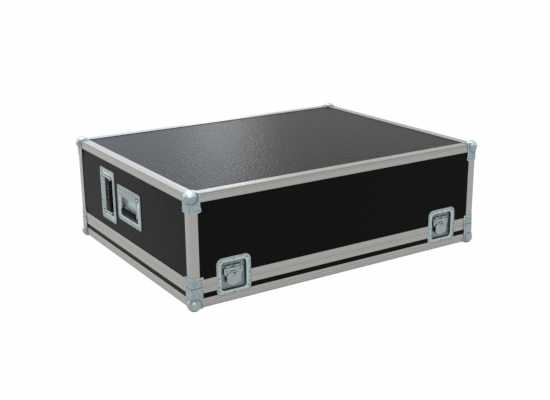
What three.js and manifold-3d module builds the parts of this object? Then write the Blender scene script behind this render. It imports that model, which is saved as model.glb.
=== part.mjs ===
// Flight case for a mixing desk: a deep ply hood over a shallow tray, in millimetres with +Z up.
// The origin is on the floor under the middle of the case, at the lowest points of the ball corners.
import * as THREE from 'three';
import { mergeVertices } from 'three/addons/utils/BufferGeometryUtils.js';
import Module from 'manifold-3d';

const wasm = await Module();
wasm.setup();

// Body of the case, over the outer faces of its aluminium
const caseWidth = 1016;
const caseDepth = 786;
const caseHeight = 322;
const partingHeight = 59; // where the hood meets the tray
const plyThickness = 9.5;
const seatGap = 0.3; // between pieces that touch
const overrun = 2; // how far a cut runs past what it cuts

// Aluminium edging
const edgingThickness = 1.5;
const edgeRound = 3.5;
const faceFlange = 25; // of the top angle, on the four sides
const capFlange = 27; // of the top and bottom angles, on the top and the underside
const postFlange = 25.5;
const trayFaceFlange = 26.3;

// Rim channels with their tongue and groove
const hoodRimHeight = 21;
const trayRimHeight = 18;
const rimInnerHeight = 14;
const tongueWidth = 4.4;
const tongueHeight = 3.5;
const tongueTaper = 0.5;

// Foam bed in the tray
const foamThickness = 22;
const foamEdgeRound = 3;

// Ball corners and corner braces
const ballRadius = 20;
const ballProud = 9.5; // how far a ball stands out of each face
const cornerSheet = 1.5;
const cornerReach = 33; // of its plates along each edge
const upperCornerLeg = 53;
const cornerBendRound = 3.5;
const braceHeight = 29;
const tabReach = 2.5; // of the rivet tabs beside a plate
const tabHeight = 13;
const tabRound = 2.8;
const tabSetback = 1.5;

// Latch dish, in two halves that part with the case
const latchSetback = 130.5; // from the end of the case to the middle of a latch
const latchWidth = 108;
const latchAbove = 69.5; // above the parting line
const latchBelow = 38;
const latchTopRound = 18;
const latchFootRound = 13;
const latchPocketWidth = 78;
const latchPocketAbove = 55;
const latchPocketBelow = 26;
const latchPocketRound = 9;
const latchPocketDepth = 9.5;
const latchDraft = 1.5;
const dishFlange = 1.5; // sheet thickness where the dish lies on the ply
const dishSheet = 1.2; // sheet thickness of the drawn pocket

// Latch mechanism, with places along the face measured up from the parting line
const hingeRodHeight = 40;
const hingeRodRadius = 1.8;
const hingeRodLength = 50;
const rodLugThickness = 2.6;
const rodLugHeight = 8;
const knuckleRadius = 3.2;
const knuckleInner = 8; // from the middle to the near end of a knuckle
const knuckleOuter = 20;
const linkSheet = 1.4;
const linkWidth = 51;
const linkNeckWidth = 26;
const linkFoot = 3;
const studSpacing = 44;
const studHeight = 24.5;
const studRadius = 2.2;
const studProud = 0.8; // of a stud's head over the hook plate
const hookSheet = 1.5;
const hookWidth = 58;
const hookTop = 35.5;
const hookTailWidth = 25;
const hookTailBelow = 15.5;
const hookEarRound = 5;
const hookTailRound = 8;
const hookLipDrop = 2; // of the lip that reaches behind the keeper
const hookLipWidth = 18;
const hubHeight = 12;
const hubRadius = 14;
const hubShaftRadius = 6;
const hubSheet = 1.3;
const hubRivetRadius = 3;
const camOffset = 3;
const camPinRadius = 2.5;
const wingSheet = 1.5;
const wingWidth = 28;
const wingBelow = 24; // from the hub's axis to the wing's tip
const wingAbove = 11;
const wingHingeOffset = 13; // from the hub's axis to the wing's hinge
const wingKnuckleRadius = 0.95;
const wingKnuckleLength = 8.8;
const wingEarWidth = 2.2;
const wingRound = 8;
const wingSlotRadius = 8;
const wingSlotWidth = 2;
const keeperRise = 2.5;
const keeperThickness = 2.4;
const keeperWidth = 24;

// Bail handles, with their places along the face measured from the middle of the dish
const handleEndGap = 25.5; // from the upright dish to the rim below it and to the edging above
const handleSpacing = 20; // between the two dishes of one side
const handleWidth = 110;
const handleRound = 9;
const handlePocketSetback = 20.5; // from the end of the dish to its pocket
const pocketTowardHinge = 21;
const pocketTowardGrip = 38;
const handlePocketDepth = 16;
const handlePocketRound = 5;
const handleDraft = 2;
const bailRadius = 3.75;
const bailHinge = 36; // from the middle of the dish
const bailDepth = 2; // of its axis below the face
const bailLegGap = 5.5; // from the end of the pocket to the middle of a leg
const bailHingeBend = 5;
const bailGripBend = 6;
const bailPinReach = 7; // of a hinge pin past the end of the pocket
const gripReach = 57; // from the hinge to the grip
const gripWidth = 15;
const gripThickness = 14;
const gripWaistShare = 0.93;

// Faces on each round stretch
const cornerSteps = 3;
const smallSteps = 2;
const roundSides = 12;
const pinSides = 8;
const ballSides = 12;
const ballRows = 8;
const barSides = 8;

// Places that follow from the sizes
const panelInset = edgingThickness + seatGap;
const panelInner = panelInset + plyThickness;
const channelInner = panelInner + seatGap;
const channelEnd = channelInner + edgingThickness;
const hoodBase = partingHeight + seatGap;
const hoodRimTop = partingHeight + hoodRimHeight;
const grooveTop = hoodBase + tongueHeight;
const hoodWebTop = grooveTop + edgingThickness;
const floorTop = panelInset + plyThickness;
const wallTop = partingHeight - edgingThickness - seatGap;
const tongueMiddle = panelInset + plyThickness / 2;
const ballInset = ballRadius - ballProud;
const latchOffset = caseWidth / 2 - latchSetback;
const handleLength = caseHeight - faceFlange - hoodRimTop - 2 * handleEndGap;
const handleHeight = hoodRimTop + handleEndGap + handleLength / 2;
const rearHandleOffset = (handleLength + handleWidth) / 2 + handleSpacing;
const handlePocketLength = handleLength - 2 * handlePocketSetback;
const bailLegSpacing = handlePocketLength - 2 * bailLegGap;

const zinc = { color: 0x8a999c, roughness: 0.38, metalness: 0.9 };
const finishes = {
  laminate: { color: 0x1d1d1e, roughness: 0.55, metalness: 0 },
  aluminium: { color: 0xa9a9a5, roughness: 0.42, metalness: 0.9 },
  dish: zinc,
  corner: { ...zinc, color: 0x92a2a6 },
  mechanism: { ...zinc, color: 0x7f9092, roughness: 0.3 },
  grip: { color: 0x141415, roughness: 0.7, metalness: 0 },
  foam: { color: 0x2b2c2e, roughness: 0.95, metalness: 0 },
};

// A closed geometry becomes a solid, turned right side out
function solidOf(geometry) {
  const bare = new THREE.BufferGeometry().setAttribute('position', geometry.getAttribute('position'));
  if (geometry.index) bare.setIndex(geometry.index);
  const merged = mergeVertices(bare);
  const vertProperties = new Float32Array(merged.getAttribute('position').array);
  const corners = merged.index.array;
  const faces = [];
  let volume = 0;
  const [a, b, c] = [new THREE.Vector3(), new THREE.Vector3(), new THREE.Vector3()];
  for (let i = 0; i < corners.length; i += 3) {
    const face = [corners[i], corners[i + 1], corners[i + 2]];
    if (new Set(face).size < 3) continue;
    faces.push(face);
    [a, b, c].forEach((vertex, k) => vertex.fromArray(vertProperties, 3 * face[k]));
    volume += a.dot(b.cross(c));
  }
  if (volume < 0) faces.forEach(face => face.reverse());
  const triVerts = new Uint32Array(faces.flat());
  return new wasm.Manifold(new wasm.Mesh({ numProp: 3, vertProperties, triVerts }));
}

function geometryOf(solid) {
  const { vertProperties, triVerts, numProp } = solid.getMesh();
  const positions = new Float32Array((vertProperties.length / numProp) * 3);
  for (let i = 0; i < positions.length / 3; i++) {
    positions.set(vertProperties.subarray(i * numProp, i * numProp + 3), 3 * i);
  }
  const geometry = new THREE.BufferGeometry();
  geometry.setAttribute('position', new THREE.BufferAttribute(positions, 3));
  geometry.setIndex(new THREE.BufferAttribute(new Uint32Array(triVerts), 1));
  const faceted = geometry.toNonIndexed();
  faceted.computeVertexNormals();
  return faceted;
}

const join = solids => solids.reduce((sum, next) => sum.add(next));
const cut = (solid, cutters) => cutters.reduce((left, cutter) => left.subtract(cutter), solid);
const placed = (solid, matrix) => solid.transform(matrix.elements);

// Rounds the corners of a polygon given as [x, y, radius]
function outline(corners, steps = cornerSteps) {
  const points = [];
  corners.forEach(([x, y, radius = 0], index) => {
    const corner = new THREE.Vector2(x, y);
    if (radius <= 0) {
      points.push(corner);
      return;
    }
    const [beforeX, beforeY] = corners[(index + corners.length - 1) % corners.length];
    const [afterX, afterY] = corners[(index + 1) % corners.length];
    const back = new THREE.Vector2(beforeX, beforeY).sub(corner).normalize();
    const ahead = new THREE.Vector2(afterX, afterY).sub(corner).normalize();
    const half = Math.acos(THREE.MathUtils.clamp(back.dot(ahead), -1, 1)) / 2;
    const middle = back.clone().add(ahead).normalize();
    const centre = corner.clone().addScaledVector(middle, radius / Math.sin(half));
    const first = corner.clone().addScaledVector(back, radius / Math.tan(half)).sub(centre);
    const last = corner.clone().addScaledVector(ahead, radius / Math.tan(half)).sub(centre);
    const sweep = Math.atan2(first.cross(last), first.dot(last));
    for (let step = 0; step <= steps; step++) {
      const turn = (sweep * step) / steps;
      points.push(first.clone().rotateAround(new THREE.Vector2(), turn).add(centre));
    }
  });
  return points;
}

const rectangle = (left, right, bottom, top, round = 0, steps = cornerSteps) =>
  outline([[right, top, round], [left, top, round], [left, bottom, round], [right, bottom, round]], steps);

function circle(x, y, radius, sides = roundSides) {
  const points = [];
  for (let side = 0; side < sides; side++) {
    const turn = (2 * Math.PI * (side + 1 / 2)) / sides;
    points.push(new THREE.Vector2(x + radius * Math.cos(turn), y + radius * Math.sin(turn)));
  }
  return points;
}

// A stadium-shaped slot along X or Y
function slot(x, y, alongX, alongY, radius) {
  const [halfX, halfY] = [alongX + radius, alongY + radius];
  return rectangle(x - halfX, x + halfX, y - halfY, y + halfY, radius, smallSteps);
}

// An outline drawn out along Z, with any holes through it
function prism(points, from, to, holes = []) {
  const shape = new THREE.Shape(points);
  shape.holes = holes.map(hole => new THREE.Path(hole));
  const geometry = new THREE.ExtrudeGeometry(shape, { depth: to - from, bevelEnabled: false });
  return solidOf(geometry.translate(0, 0, from));
}

// The same along X, for an outline given in Y and Z
const axesTurned = new THREE.Matrix4().makeBasis(
  new THREE.Vector3(0, 1, 0), new THREE.Vector3(0, 0, 1), new THREE.Vector3(1, 0, 0));
const barAlongX = (points, from, to) => placed(prism(points, from, to), axesTurned);

const block = (x0, x1, y0, y1, z0, z1) => solidOf(
  new THREE.BoxGeometry(x1 - x0, y1 - y0, z1 - z0).translate((x0 + x1) / 2, (y0 + y1) / 2, (z0 + z1) / 2));

// A skin over rings of points, capped at its ends or closed on itself
function skin(rings, closed = false) {
  const sides = rings[0].length;
  const positions = rings.flat().flatMap(point => [point.x, point.y, point.z]);
  const faces = [];
  for (let ring = 0; ring < rings.length - (closed ? 0 : 1); ring++) {
    const next = (ring + 1) % rings.length;
    for (let side = 0; side < sides; side++) {
      const beside = (side + 1) % sides;
      const [a, b] = [ring * sides + side, ring * sides + beside];
      const [c, d] = [next * sides + beside, next * sides + side];
      faces.push(a, b, c, a, c, d);
    }
  }
  if (!closed) {
    const last = (rings.length - 1) * sides;
    for (let side = 1; side < sides - 1; side++) {
      faces.push(0, side + 1, side, last, last + side, last + side + 1);
    }
  }
  const geometry = new THREE.BufferGeometry();
  geometry.setAttribute('position', new THREE.Float32BufferAttribute(positions, 3));
  return solidOf(geometry.setIndex(faces));
}

const atHeight = (points, z) => points.map(point => new THREE.Vector3(point.x, point.y, z));
const tapered = (lower, from, upper, to) => skin([atHeight(lower, from), atHeight(upper, to)]);

// A section of [inset, height] points carried round the case: its outer skin turns each corner
// on a round, and whatever lies inside the sheet is mitred
function carriedRound(section, round = edgeRound) {
  const rings = [];
  const quarters = [[1, 1], [-1, 1], [-1, -1], [1, -1]];
  quarters.forEach(([sideX, sideY], quarter) => {
    for (let step = 0; step <= smallSteps; step++) {
      const turn = ((quarter + step / smallSteps) * Math.PI) / 2;
      rings.push(section.map(({ x: inset, y: height }) => {
        const left = round - inset;
        const rounded = round > 0 && inset < edgingThickness;
        const [alongX, alongY] = rounded ? [Math.cos(turn), Math.sin(turn)] : [sideX, sideY];
        const [centreX, centreY] = [sideX * (caseWidth / 2 - round), sideY * (caseDepth / 2 - round)];
        return new THREE.Vector3(centreX + left * alongX, centreY + left * alongY, height);
      }));
    }
  });
  return skin(rings, true);
}

// The frame of one side of the case: X to the right, Y up from the given height and Z outward
const sides = {
  front: { turn: 0, reach: caseDepth / 2 },
  right: { turn: Math.PI / 2, reach: caseWidth / 2 },
  rear: { turn: Math.PI, reach: caseDepth / 2 },
  left: { turn: -Math.PI / 2, reach: caseWidth / 2 },
};
function onSide(side, along, height, spin = 0) {
  const { turn, reach } = sides[side];
  return new THREE.Matrix4().makeRotationZ(turn)
    .multiply(new THREE.Matrix4().makeTranslation(along, -reach, height))
    .multiply(new THREE.Matrix4().makeRotationX(Math.PI / 2))
    .multiply(new THREE.Matrix4().makeRotationZ(spin));
}

const group = new THREE.Group();
const body = new THREE.Group();
body.position.z = ballProud;
group.add(body);

function piece(name, solid, finish, parent = body) {
  const mesh = new THREE.Mesh(geometryOf(solid), new THREE.MeshStandardMaterial(finishes[finish]));
  mesh.name = name;
  parent.add(mesh);
  return mesh;
}

function groupAt(matrix) {
  const placedGroup = new THREE.Group();
  placedGroup.applyMatrix4(matrix);
  body.add(placedGroup);
  return placedGroup;
}

// Where the latches and handles stand
const latchPlaces = [
  { name: 'fl', side: 'front', along: -latchOffset }, { name: 'fr', side: 'front', along: latchOffset },
  { name: 'rl', side: 'rear', along: latchOffset }, { name: 'rr', side: 'rear', along: -latchOffset },
];
const handlePlaces = [
  { name: 'left_mid', side: 'left', along: 0, spin: 0 },
  { name: 'left_rear', side: 'left', along: -rearHandleOffset, spin: Math.PI / 2 },
  { name: 'right_mid', side: 'right', along: 0, spin: 0 },
  { name: 'right_rear', side: 'right', along: rearHandleOffset, spin: -Math.PI / 2 },
];
const latchFrame = place => onSide(place.side, place.along, partingHeight);
const handleFrame = place => onSide(place.side, place.along, handleHeight, place.spin);

// Outlines that the hardware shares with the holes it sits in
const latchOutline = grow => {
  const half = latchWidth / 2 + grow;
  return outline([
    [half, latchAbove + grow, latchTopRound], [-half, latchAbove + grow, latchTopRound],
    [-half, -latchBelow - grow, latchFootRound], [half, -latchBelow - grow, latchFootRound],
  ]);
};
const latchPocketOutline = grow => {
  const half = latchPocketWidth / 2 + grow;
  return rectangle(-half, half, -latchPocketBelow - grow, latchPocketAbove + grow, latchPocketRound);
};
const handlePocketOutline = grow => {
  const half = handlePocketLength / 2 + grow;
  const [bottom, top] = [-pocketTowardGrip - grow, pocketTowardHinge + grow];
  return rectangle(-half, half, bottom, top, handlePocketRound, smallSteps);
};
const cradleEnd = handlePocketLength / 2 + bailPinReach;
const cradleHalf = bailRadius + seatGap;
const cradleOutline = (grow, start = bailHinge - cradleHalf) => {
  const [near, far] = [start - grow, bailHinge + cradleHalf + grow];
  const bottom = -bailDepth - cradleHalf - grow;
  return outline([
    [far, overrun], [near, overrun], [near, bottom, cradleHalf + grow], [far, bottom, cradleHalf + grow],
  ], smallSteps);
};
const legSlotInner = bailLegSpacing / 2 - cradleHalf; // a leg's slot runs from here to the pocket's end

// Holes for the hardware, in the frame of its side: square in the ply, and rounded in the aluminium
const throughPly = [-panelInner - overrun, -panelInset + overrun];
const plyHoleGrow = dishSheet + seatGap;
const plyHole = (halfLength, below, above) => {
  const half = halfLength + plyHoleGrow;
  return prism(rectangle(-half, half, -below - plyHoleGrow, above + plyHoleGrow), ...throughPly);
};
const latchPlyHole = plyHole(latchPocketWidth / 2, latchPocketBelow, latchPocketAbove);
const latchEdgingHole = join([
  prism(latchOutline(seatGap), -dishFlange - seatGap, overrun),
  prism(latchPocketOutline(plyHoleGrow), -latchPocketDepth - plyHoleGrow, overrun),
]);
const handlePlyHole = join([
  plyHole(handlePocketLength / 2, pocketTowardGrip, pocketTowardHinge),
  plyHole(cradleEnd, -pocketTowardHinge, bailHinge + cradleHalf),
]);
const latchHoles = (solid, side = null) =>
  latchPlaces.filter(place => !side || place.side === side).map(place => placed(solid, latchFrame(place)));

// Ply boards of the hood
const boardHalfWidth = caseWidth / 2 - panelInset;
const boardHalfDepth = caseDepth / 2 - panelInset;
const sideBoardHalf = caseDepth / 2 - panelInner - seatGap;
const boardTop = caseHeight - panelInner - seatGap;
const boardBottom = hoodWebTop + seatGap;

function hoodPanels() {
  piece('hood_top_panel', block(-boardHalfWidth, boardHalfWidth, -boardHalfDepth, boardHalfDepth,
    caseHeight - panelInner, caseHeight - panelInset), 'laminate');
  for (const [side, sign] of [['front', -1], ['rear', 1]]) {
    const faces = [sign * boardHalfDepth, sign * (boardHalfDepth - plyThickness)].sort((a, b) => a - b);
    const board = block(-boardHalfWidth, boardHalfWidth, ...faces, boardBottom, boardTop);
    piece(`hood_${side}_panel`, cut(board, latchHoles(latchPlyHole, side)), 'laminate');
  }
  for (const [side, sign] of [['left', -1], ['right', 1]]) {
    const faces = [sign * boardHalfWidth, sign * (boardHalfWidth - plyThickness)].sort((a, b) => a - b);
    const board = block(...faces, -sideBoardHalf, sideBoardHalf, boardBottom, boardTop);
    const holes = handlePlaces.filter(place => place.side === side)
      .map(place => placed(handlePlyHole, handleFrame(place)));
    piece(`hood_${side}_panel`, cut(board, holes), 'laminate');
  }
}

// Top angle and corner posts, riveted into one frame
function hoodEdging() {
  const angle = outline([
    [0, caseHeight - faceFlange], [0, caseHeight, edgeRound], [capFlange, caseHeight],
    [capFlange, caseHeight - edgingThickness], [edgingThickness, caseHeight - edgingThickness],
    [edgingThickness, caseHeight - faceFlange],
  ], smallSteps);
  const postSection = outline([
    [0, 0, edgeRound], [postFlange, 0], [postFlange, edgingThickness],
    [edgingThickness, edgingThickness], [edgingThickness, postFlange], [0, postFlange],
  ], smallSteps);
  const post = prism(postSection, hoodRimTop + seatGap, caseHeight - edgeRound);
  const posts = cornerPlaces.map(place => placed(post, atCorner(place, 0)));
  piece('hood_edging', join([carriedRound(angle), ...posts]), 'aluminium');
}

// The channel round the hood's open edge, grooved for the tray's tongue
function hoodRim() {
  const grooveHalf = tongueWidth / 2 + seatGap;
  const section = [
    [0, hoodBase], [0, hoodRimTop], [edgingThickness, hoodRimTop], [edgingThickness, hoodWebTop],
    [channelInner, hoodWebTop], [channelInner, hoodBase + rimInnerHeight],
    [channelEnd, hoodBase + rimInnerHeight], [channelEnd, hoodBase],
    [tongueMiddle + grooveHalf, hoodBase], [tongueMiddle + grooveHalf - tongueTaper, grooveTop],
    [tongueMiddle - grooveHalf + tongueTaper, grooveTop], [tongueMiddle - grooveHalf, hoodBase],
  ].map(([inset, height]) => new THREE.Vector2(inset, height));
  piece('hood_rim', cut(carriedRound(section), latchHoles(latchEdgingHole)), 'aluminium');
}

// Floor board, wall frame, rim channel, bottom angle and foam bed of the tray
function tray() {
  piece('tray_floor_panel', block(-boardHalfWidth, boardHalfWidth, -boardHalfDepth, boardHalfDepth,
    panelInset, floorTop), 'laminate');
  const wall = rectangle(panelInset, panelInner, floorTop + seatGap, wallTop);
  piece('tray_walls', cut(carriedRound(wall, 0), latchHoles(latchPlyHole)), 'laminate');

  const rimBottom = partingHeight - trayRimHeight;
  const tongueTop = partingHeight + tongueHeight;
  const tongueOuter = tongueMiddle - tongueWidth / 2;
  const section = [
    [0, rimBottom], [0, partingHeight],
    [tongueOuter, partingHeight], [tongueOuter + tongueTaper, tongueTop],
    [tongueOuter + tongueWidth - tongueTaper, tongueTop], [tongueOuter + tongueWidth, partingHeight],
    [channelEnd, partingHeight], [channelEnd, partingHeight - rimInnerHeight],
    [channelInner, partingHeight - rimInnerHeight], [channelInner, partingHeight - edgingThickness],
    [edgingThickness, partingHeight - edgingThickness], [edgingThickness, rimBottom],
  ].map(([inset, height]) => new THREE.Vector2(inset, height));
  piece('tray_rim', cut(carriedRound(section), latchHoles(latchEdgingHole)), 'aluminium');

  const angle = outline([
    [0, trayFaceFlange], [0, 0, edgeRound], [capFlange, 0], [capFlange, edgingThickness],
    [edgingThickness, edgingThickness], [edgingThickness, trayFaceFlange],
  ], smallSteps);
  piece('tray_edging', cut(carriedRound(angle), latchHoles(latchEdgingHole)), 'aluminium');

  const foamHalfWidth = caseWidth / 2 - channelInner;
  const foamHalfDepth = caseDepth / 2 - channelInner;
  const foamBottom = floorTop + seatGap;
  const foamTop = foamBottom + foamThickness;
  const bed = inset => rectangle(inset - foamHalfWidth, foamHalfWidth - inset,
    inset - foamHalfDepth, foamHalfDepth - inset);
  piece('tray_foam', skin([
    atHeight(bed(0), foamBottom), atHeight(bed(0), foamTop - foamEdgeRound),
    atHeight(bed(foamEdgeRound), foamTop),
  ]), 'foam');
}

// The four vertical corners, each turned so that the case lies toward +X and +Y of it
const cornerPlaces = [
  { name: 'fl', x: -1, y: -1, quarter: 0 }, { name: 'fr', x: 1, y: -1, quarter: 1 },
  { name: 'rl', x: -1, y: 1, quarter: 3 }, { name: 'rr', x: 1, y: 1, quarter: 2 },
];
function atCorner({ x, y, quarter }, height) {
  return new THREE.Matrix4().makeTranslation((x * caseWidth) / 2, (y * caseDepth) / 2, height)
    .multiply(new THREE.Matrix4().makeRotationZ((quarter * Math.PI) / 2));
}

// Bent plate round a vertical corner, with rivet tabs beside its free end
const plateBack = -seatGap;
const plateFront = -seatGap - cornerSheet;
function bentPlate(from, to, tabBottoms) {
  const section = outline([
    [plateFront, cornerReach], [plateFront, plateFront, cornerBendRound + cornerSheet],
    [cornerReach, plateFront], [cornerReach, plateBack],
    [plateBack, plateBack, cornerBendRound], [plateBack, cornerReach],
  ], smallSteps);
  const solids = [prism(section, from, to)];
  for (const bottom of tabBottoms) {
    const [root, tip, top] = [cornerReach - tabRound, cornerReach + tabReach, bottom + tabHeight];
    const tab = outline([
      [tip, top, tabRound], [root, top], [root, bottom], [tip, bottom, tabRound],
    ], smallSteps);
    const onFace = new THREE.Matrix4().makeRotationX(Math.PI / 2);
    solids.push(placed(prism(tab, -plateBack, -plateFront), onFace));
    solids.push(placed(prism(tab, plateFront, plateBack), axesTurned));
  }
  return join(solids);
}

// Three bent plates and a ball over the corner where they meet
function ballCorner(leg, tabBottom) {
  const upright = bentPlate(plateFront, leg, [tabBottom]);
  const flat = bentPlate(plateFront, cornerReach, []);
  const axesTurnedTwice = axesTurned.clone().multiply(axesTurned);
  const plates = [upright, placed(flat, axesTurned), placed(flat, axesTurnedTwice)];
  const ball = solidOf(new THREE.SphereGeometry(ballRadius, ballSides, ballRows)
    .rotateX(Math.PI / 2).translate(ballInset, ballInset, ballInset));
  const reach = caseHeight;
  const caseSpace = block(plateBack, reach, plateBack, reach, plateBack, reach);
  return join([...plates, cut(ball, [caseSpace])]);
}

function cornerHardware() {
  const upsideDown = new THREE.Matrix4().makeBasis(
    new THREE.Vector3(0, 1, 0), new THREE.Vector3(1, 0, 0), new THREE.Vector3(0, 0, -1));
  const upper = placed(ballCorner(upperCornerLeg, upperCornerLeg - tabHeight - tabSetback), upsideDown);
  const lower = ballCorner(partingHeight, partingHeight - tabHeight - tabSetback);
  const brace = bentPlate(0, braceHeight, [braceHeight - tabHeight]);
  for (const place of cornerPlaces) {
    const upperMatrix = atCorner(place, caseHeight);
    piece(`hood_ball_corner_${place.name}`, placed(upper, upperMatrix), 'corner');
    piece(`tray_ball_corner_${place.name}`, placed(lower, atCorner(place, 0)), 'corner');
    piece(`hood_corner_brace_${place.name}`, placed(brace, atCorner(place, hoodBase)), 'corner');
  }
}

// Heights of the latch's layers, outward from the face
const pocketFloor = -latchPocketDepth;
const keeperFront = pocketFloor + keeperRise;
const hookBack = keeperFront + seatGap + hookLipDrop;
const hookFront = hookBack + hookSheet;
const linkFront = hookBack - seatGap;
const linkBack = linkFront - linkSheet;
const rodDepth = (linkFront + linkBack) / 2;
const hubBack = hookFront + seatGap;
const hubFront = hubBack + hubSheet;
const wingBack = hubFront + seatGap;
const wingFront = wingBack + wingSheet;
const wingAxis = wingBack + wingKnuckleRadius;
const camThrow = 2 * camOffset; // how far half a turn of the wing lets the hook down

function latchDishes() {
  const flange = prism(latchOutline(0), -dishFlange, 0);
  const outer = tapered(latchPocketOutline(dishSheet - latchDraft), pocketFloor - dishSheet,
    latchPocketOutline(dishSheet), 0);
  const draftPast = (latchDraft * overrun) / latchPocketDepth;
  const inner = tapered(latchPocketOutline(-latchDraft), pocketFloor, latchPocketOutline(draftPast), overrun);
  const whole = cut(join([flange, outer]), [inner]);
  const across = latchWidth;
  const upperHalf = block(-across, across, seatGap, across, -across, across);
  const lowerHalf = block(-across, across, -across, 0, -across, across);

  const lugOutline = outline([
    [hingeRodHeight + rodLugHeight / 2, pocketFloor - dishSheet / 2],
    [hingeRodHeight + rodLugHeight / 2, rodDepth + hingeRodRadius * 2, knuckleRadius],
    [hingeRodHeight - rodLugHeight / 2, rodDepth + hingeRodRadius * 2, knuckleRadius],
    [hingeRodHeight - rodLugHeight / 2, pocketFloor - dishSheet / 2],
  ], smallSteps);
  const rodHalf = hingeRodLength / 2;
  const rod = barAlongX(circle(hingeRodHeight, rodDepth, hingeRodRadius, pinSides), -rodHalf, rodHalf);
  const lugs = [-1, 1].map(sign => {
    const ends = [sign * rodHalf, sign * (rodHalf - rodLugThickness)].sort((a, b) => a - b);
    return barAlongX(lugOutline, ...ends);
  });

  const keeperTop = keeperThickness - hookTailBelow + hookSheet + seatGap;
  const keeperSection = outline([
    [keeperTop + keeperRise, pocketFloor - dishSheet / 2], [keeperTop, keeperFront],
    [keeperTop - keeperThickness, keeperFront], [keeperTop - keeperThickness, pocketFloor - dishSheet / 2],
  ]);
  const keeper = barAlongX(keeperSection, -keeperWidth / 2, keeperWidth / 2);
  return {
    upper: join([whole.intersect(upperHalf), rod, ...lugs]),
    lower: join([whole.intersect(lowerHalf), keeper]),
  };
}

// Tilting plate on the hinge rod, with two guide studs and the slot that the cam pin works in
function latchLink() {
  const half = linkWidth / 2;
  const neck = linkNeckWidth / 2;
  const shoulder = studHeight + 2 * studRadius;
  const waist = studHeight - 2 * studRadius;
  const notch = hingeRodHeight - 2 * knuckleRadius;
  const right = [
    [knuckleInner, notch], [knuckleInner, hingeRodHeight], [knuckleOuter, hingeRodHeight],
    [knuckleOuter, shoulder + knuckleRadius], [half, shoulder, studRadius], [half, waist, studRadius],
    [neck, waist - neck / 2, studRadius], [neck, linkFoot, studRadius],
  ];
  const left = right.map(([x, y, round]) => [-x, y, round]).reverse();
  const pinHeight = hubHeight - camOffset;
  const lostMotionShare = 0.22; // of the cam's offset, between a true cam and an even travel
  const slotHalf = lostMotionShare * camOffset;
  const camSlot = slot(0, pinHeight, camOffset, slotHalf, camPinRadius + seatGap);
  const plate = prism(outline([...left, ...right], smallSteps), linkBack, linkFront, [camSlot]);
  const knuckles = [[-knuckleOuter, -knuckleInner], [knuckleInner, knuckleOuter]].map(([from, to]) =>
    barAlongX(circle(hingeRodHeight, rodDepth, knuckleRadius, pinSides), from, to));
  const bore = barAlongX(circle(hingeRodHeight, rodDepth, hingeRodRadius + seatGap, pinSides),
    -knuckleOuter - overrun, knuckleOuter + overrun);
  const studs = [-1, 1].map(sign => {
    const stud = circle((sign * studSpacing) / 2, studHeight, studRadius, pinSides);
    return prism(stud, linkBack, hookFront + studProud);
  });
  return join([cut(join([plate, ...knuckles]), [bore]), ...studs]);
}

// Hook plate: eared shield with guide slots, a bore for the hub and a lip behind its tail
function latchHook() {
  const half = hookWidth / 2;
  const tail = hookTailWidth / 2;
  const earBottom = studHeight - 2 * studRadius;
  const right = [
    [tail, -hookTailBelow, hookTailRound], [tail, hubHeight - hubRadius, hubRadius],
    [half, earBottom, hookEarRound], [half, hookTop, hookEarRound],
  ];
  const left = right.map(([x, y, round]) => [-x, y, round]).reverse();
  const guideSlots = [-1, 1].map(sign =>
    slot((sign * studSpacing) / 2, studHeight + camThrow / 2, 0, camThrow / 2, studRadius + seatGap));
  const bore = circle(0, hubHeight, hubShaftRadius + seatGap);
  const plate = prism(outline([...right, ...left]), hookBack, hookFront, [...guideSlots, bore]);
  const lip = block(-hookLipWidth / 2, hookLipWidth / 2, -hookTailBelow, hookSheet - hookTailBelow,
    hookBack - hookLipDrop, hookFront);
  return join([plate, lip]);
}

// Cam hub: flange, shaft and eccentric pin, with two ears that carry the wing
function latchHub() {
  const disc = prism(circle(0, hubHeight, hubRadius), hubBack, hubFront);
  const shaft = prism(circle(0, hubHeight, hubShaftRadius), hookBack, hubFront);
  const pin = prism(circle(0, hubHeight - camOffset, camPinRadius, pinSides), linkBack + seatGap, hubFront);
  const rivet = tapered(circle(0, hubHeight, hubRivetRadius, pinSides), hubBack,
    circle(0, hubHeight, hubRivetRadius / 2, pinSides), wingFront);
  const axisHeight = hubHeight + wingHingeOffset;
  const earInner = wingKnuckleLength / 2 + seatGap;
  const earHalf = wingKnuckleRadius + wingSheet / 2;
  const ears = [-1, 1].map(sign => {
    const ends = [sign * earInner, sign * (earInner + wingEarWidth)].sort((a, b) => a - b);
    return barAlongX(rectangle(axisHeight - earHalf, axisHeight + earHalf, hubBack, wingFront + wingSheet / 2,
      wingSheet / 2, smallSteps), ...ends);
  });
  return join([disc, shaft, pin, rivet, ...ears]);
}

// Folding wing with its knuckle, a curved slot and a hole over the hub's rivet
function latchWing() {
  const half = wingWidth / 2;
  const top = hubHeight + wingAbove;
  const axisHeight = hubHeight + wingHingeOffset;
  const tabHalf = wingKnuckleLength / 2;
  const arc = [];
  for (let step = 0; step <= 2 * cornerSteps; step++) {
    const inward = step > cornerSteps;
    const share = inward ? 2 * cornerSteps - step : step;
    for (const edge of inward ? [-1] : step === cornerSteps ? [1, -1] : [1]) {
      const turn = (share / cornerSteps) * (Math.PI / 2);
      const radius = wingSlotRadius + (edge * wingSlotWidth) / 2;
      arc.push(new THREE.Vector2(radius * Math.cos(turn), hubHeight + radius * Math.sin(turn)));
    }
  }
  const plate = prism(rectangle(-half, half, hubHeight - wingBelow, top, wingRound), wingBack, wingFront,
    [circle(0, hubHeight, hubRivetRadius + 2 * seatGap, pinSides), arc]);
  const tab = block(-tabHalf, tabHalf, top - wingSheet, axisHeight, wingBack, wingFront);
  const knuckle = barAlongX(circle(axisHeight, wingAxis, wingKnuckleRadius, barSides), -tabHalf, tabHalf);
  return join([plate, tab, knuckle]);
}

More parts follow.
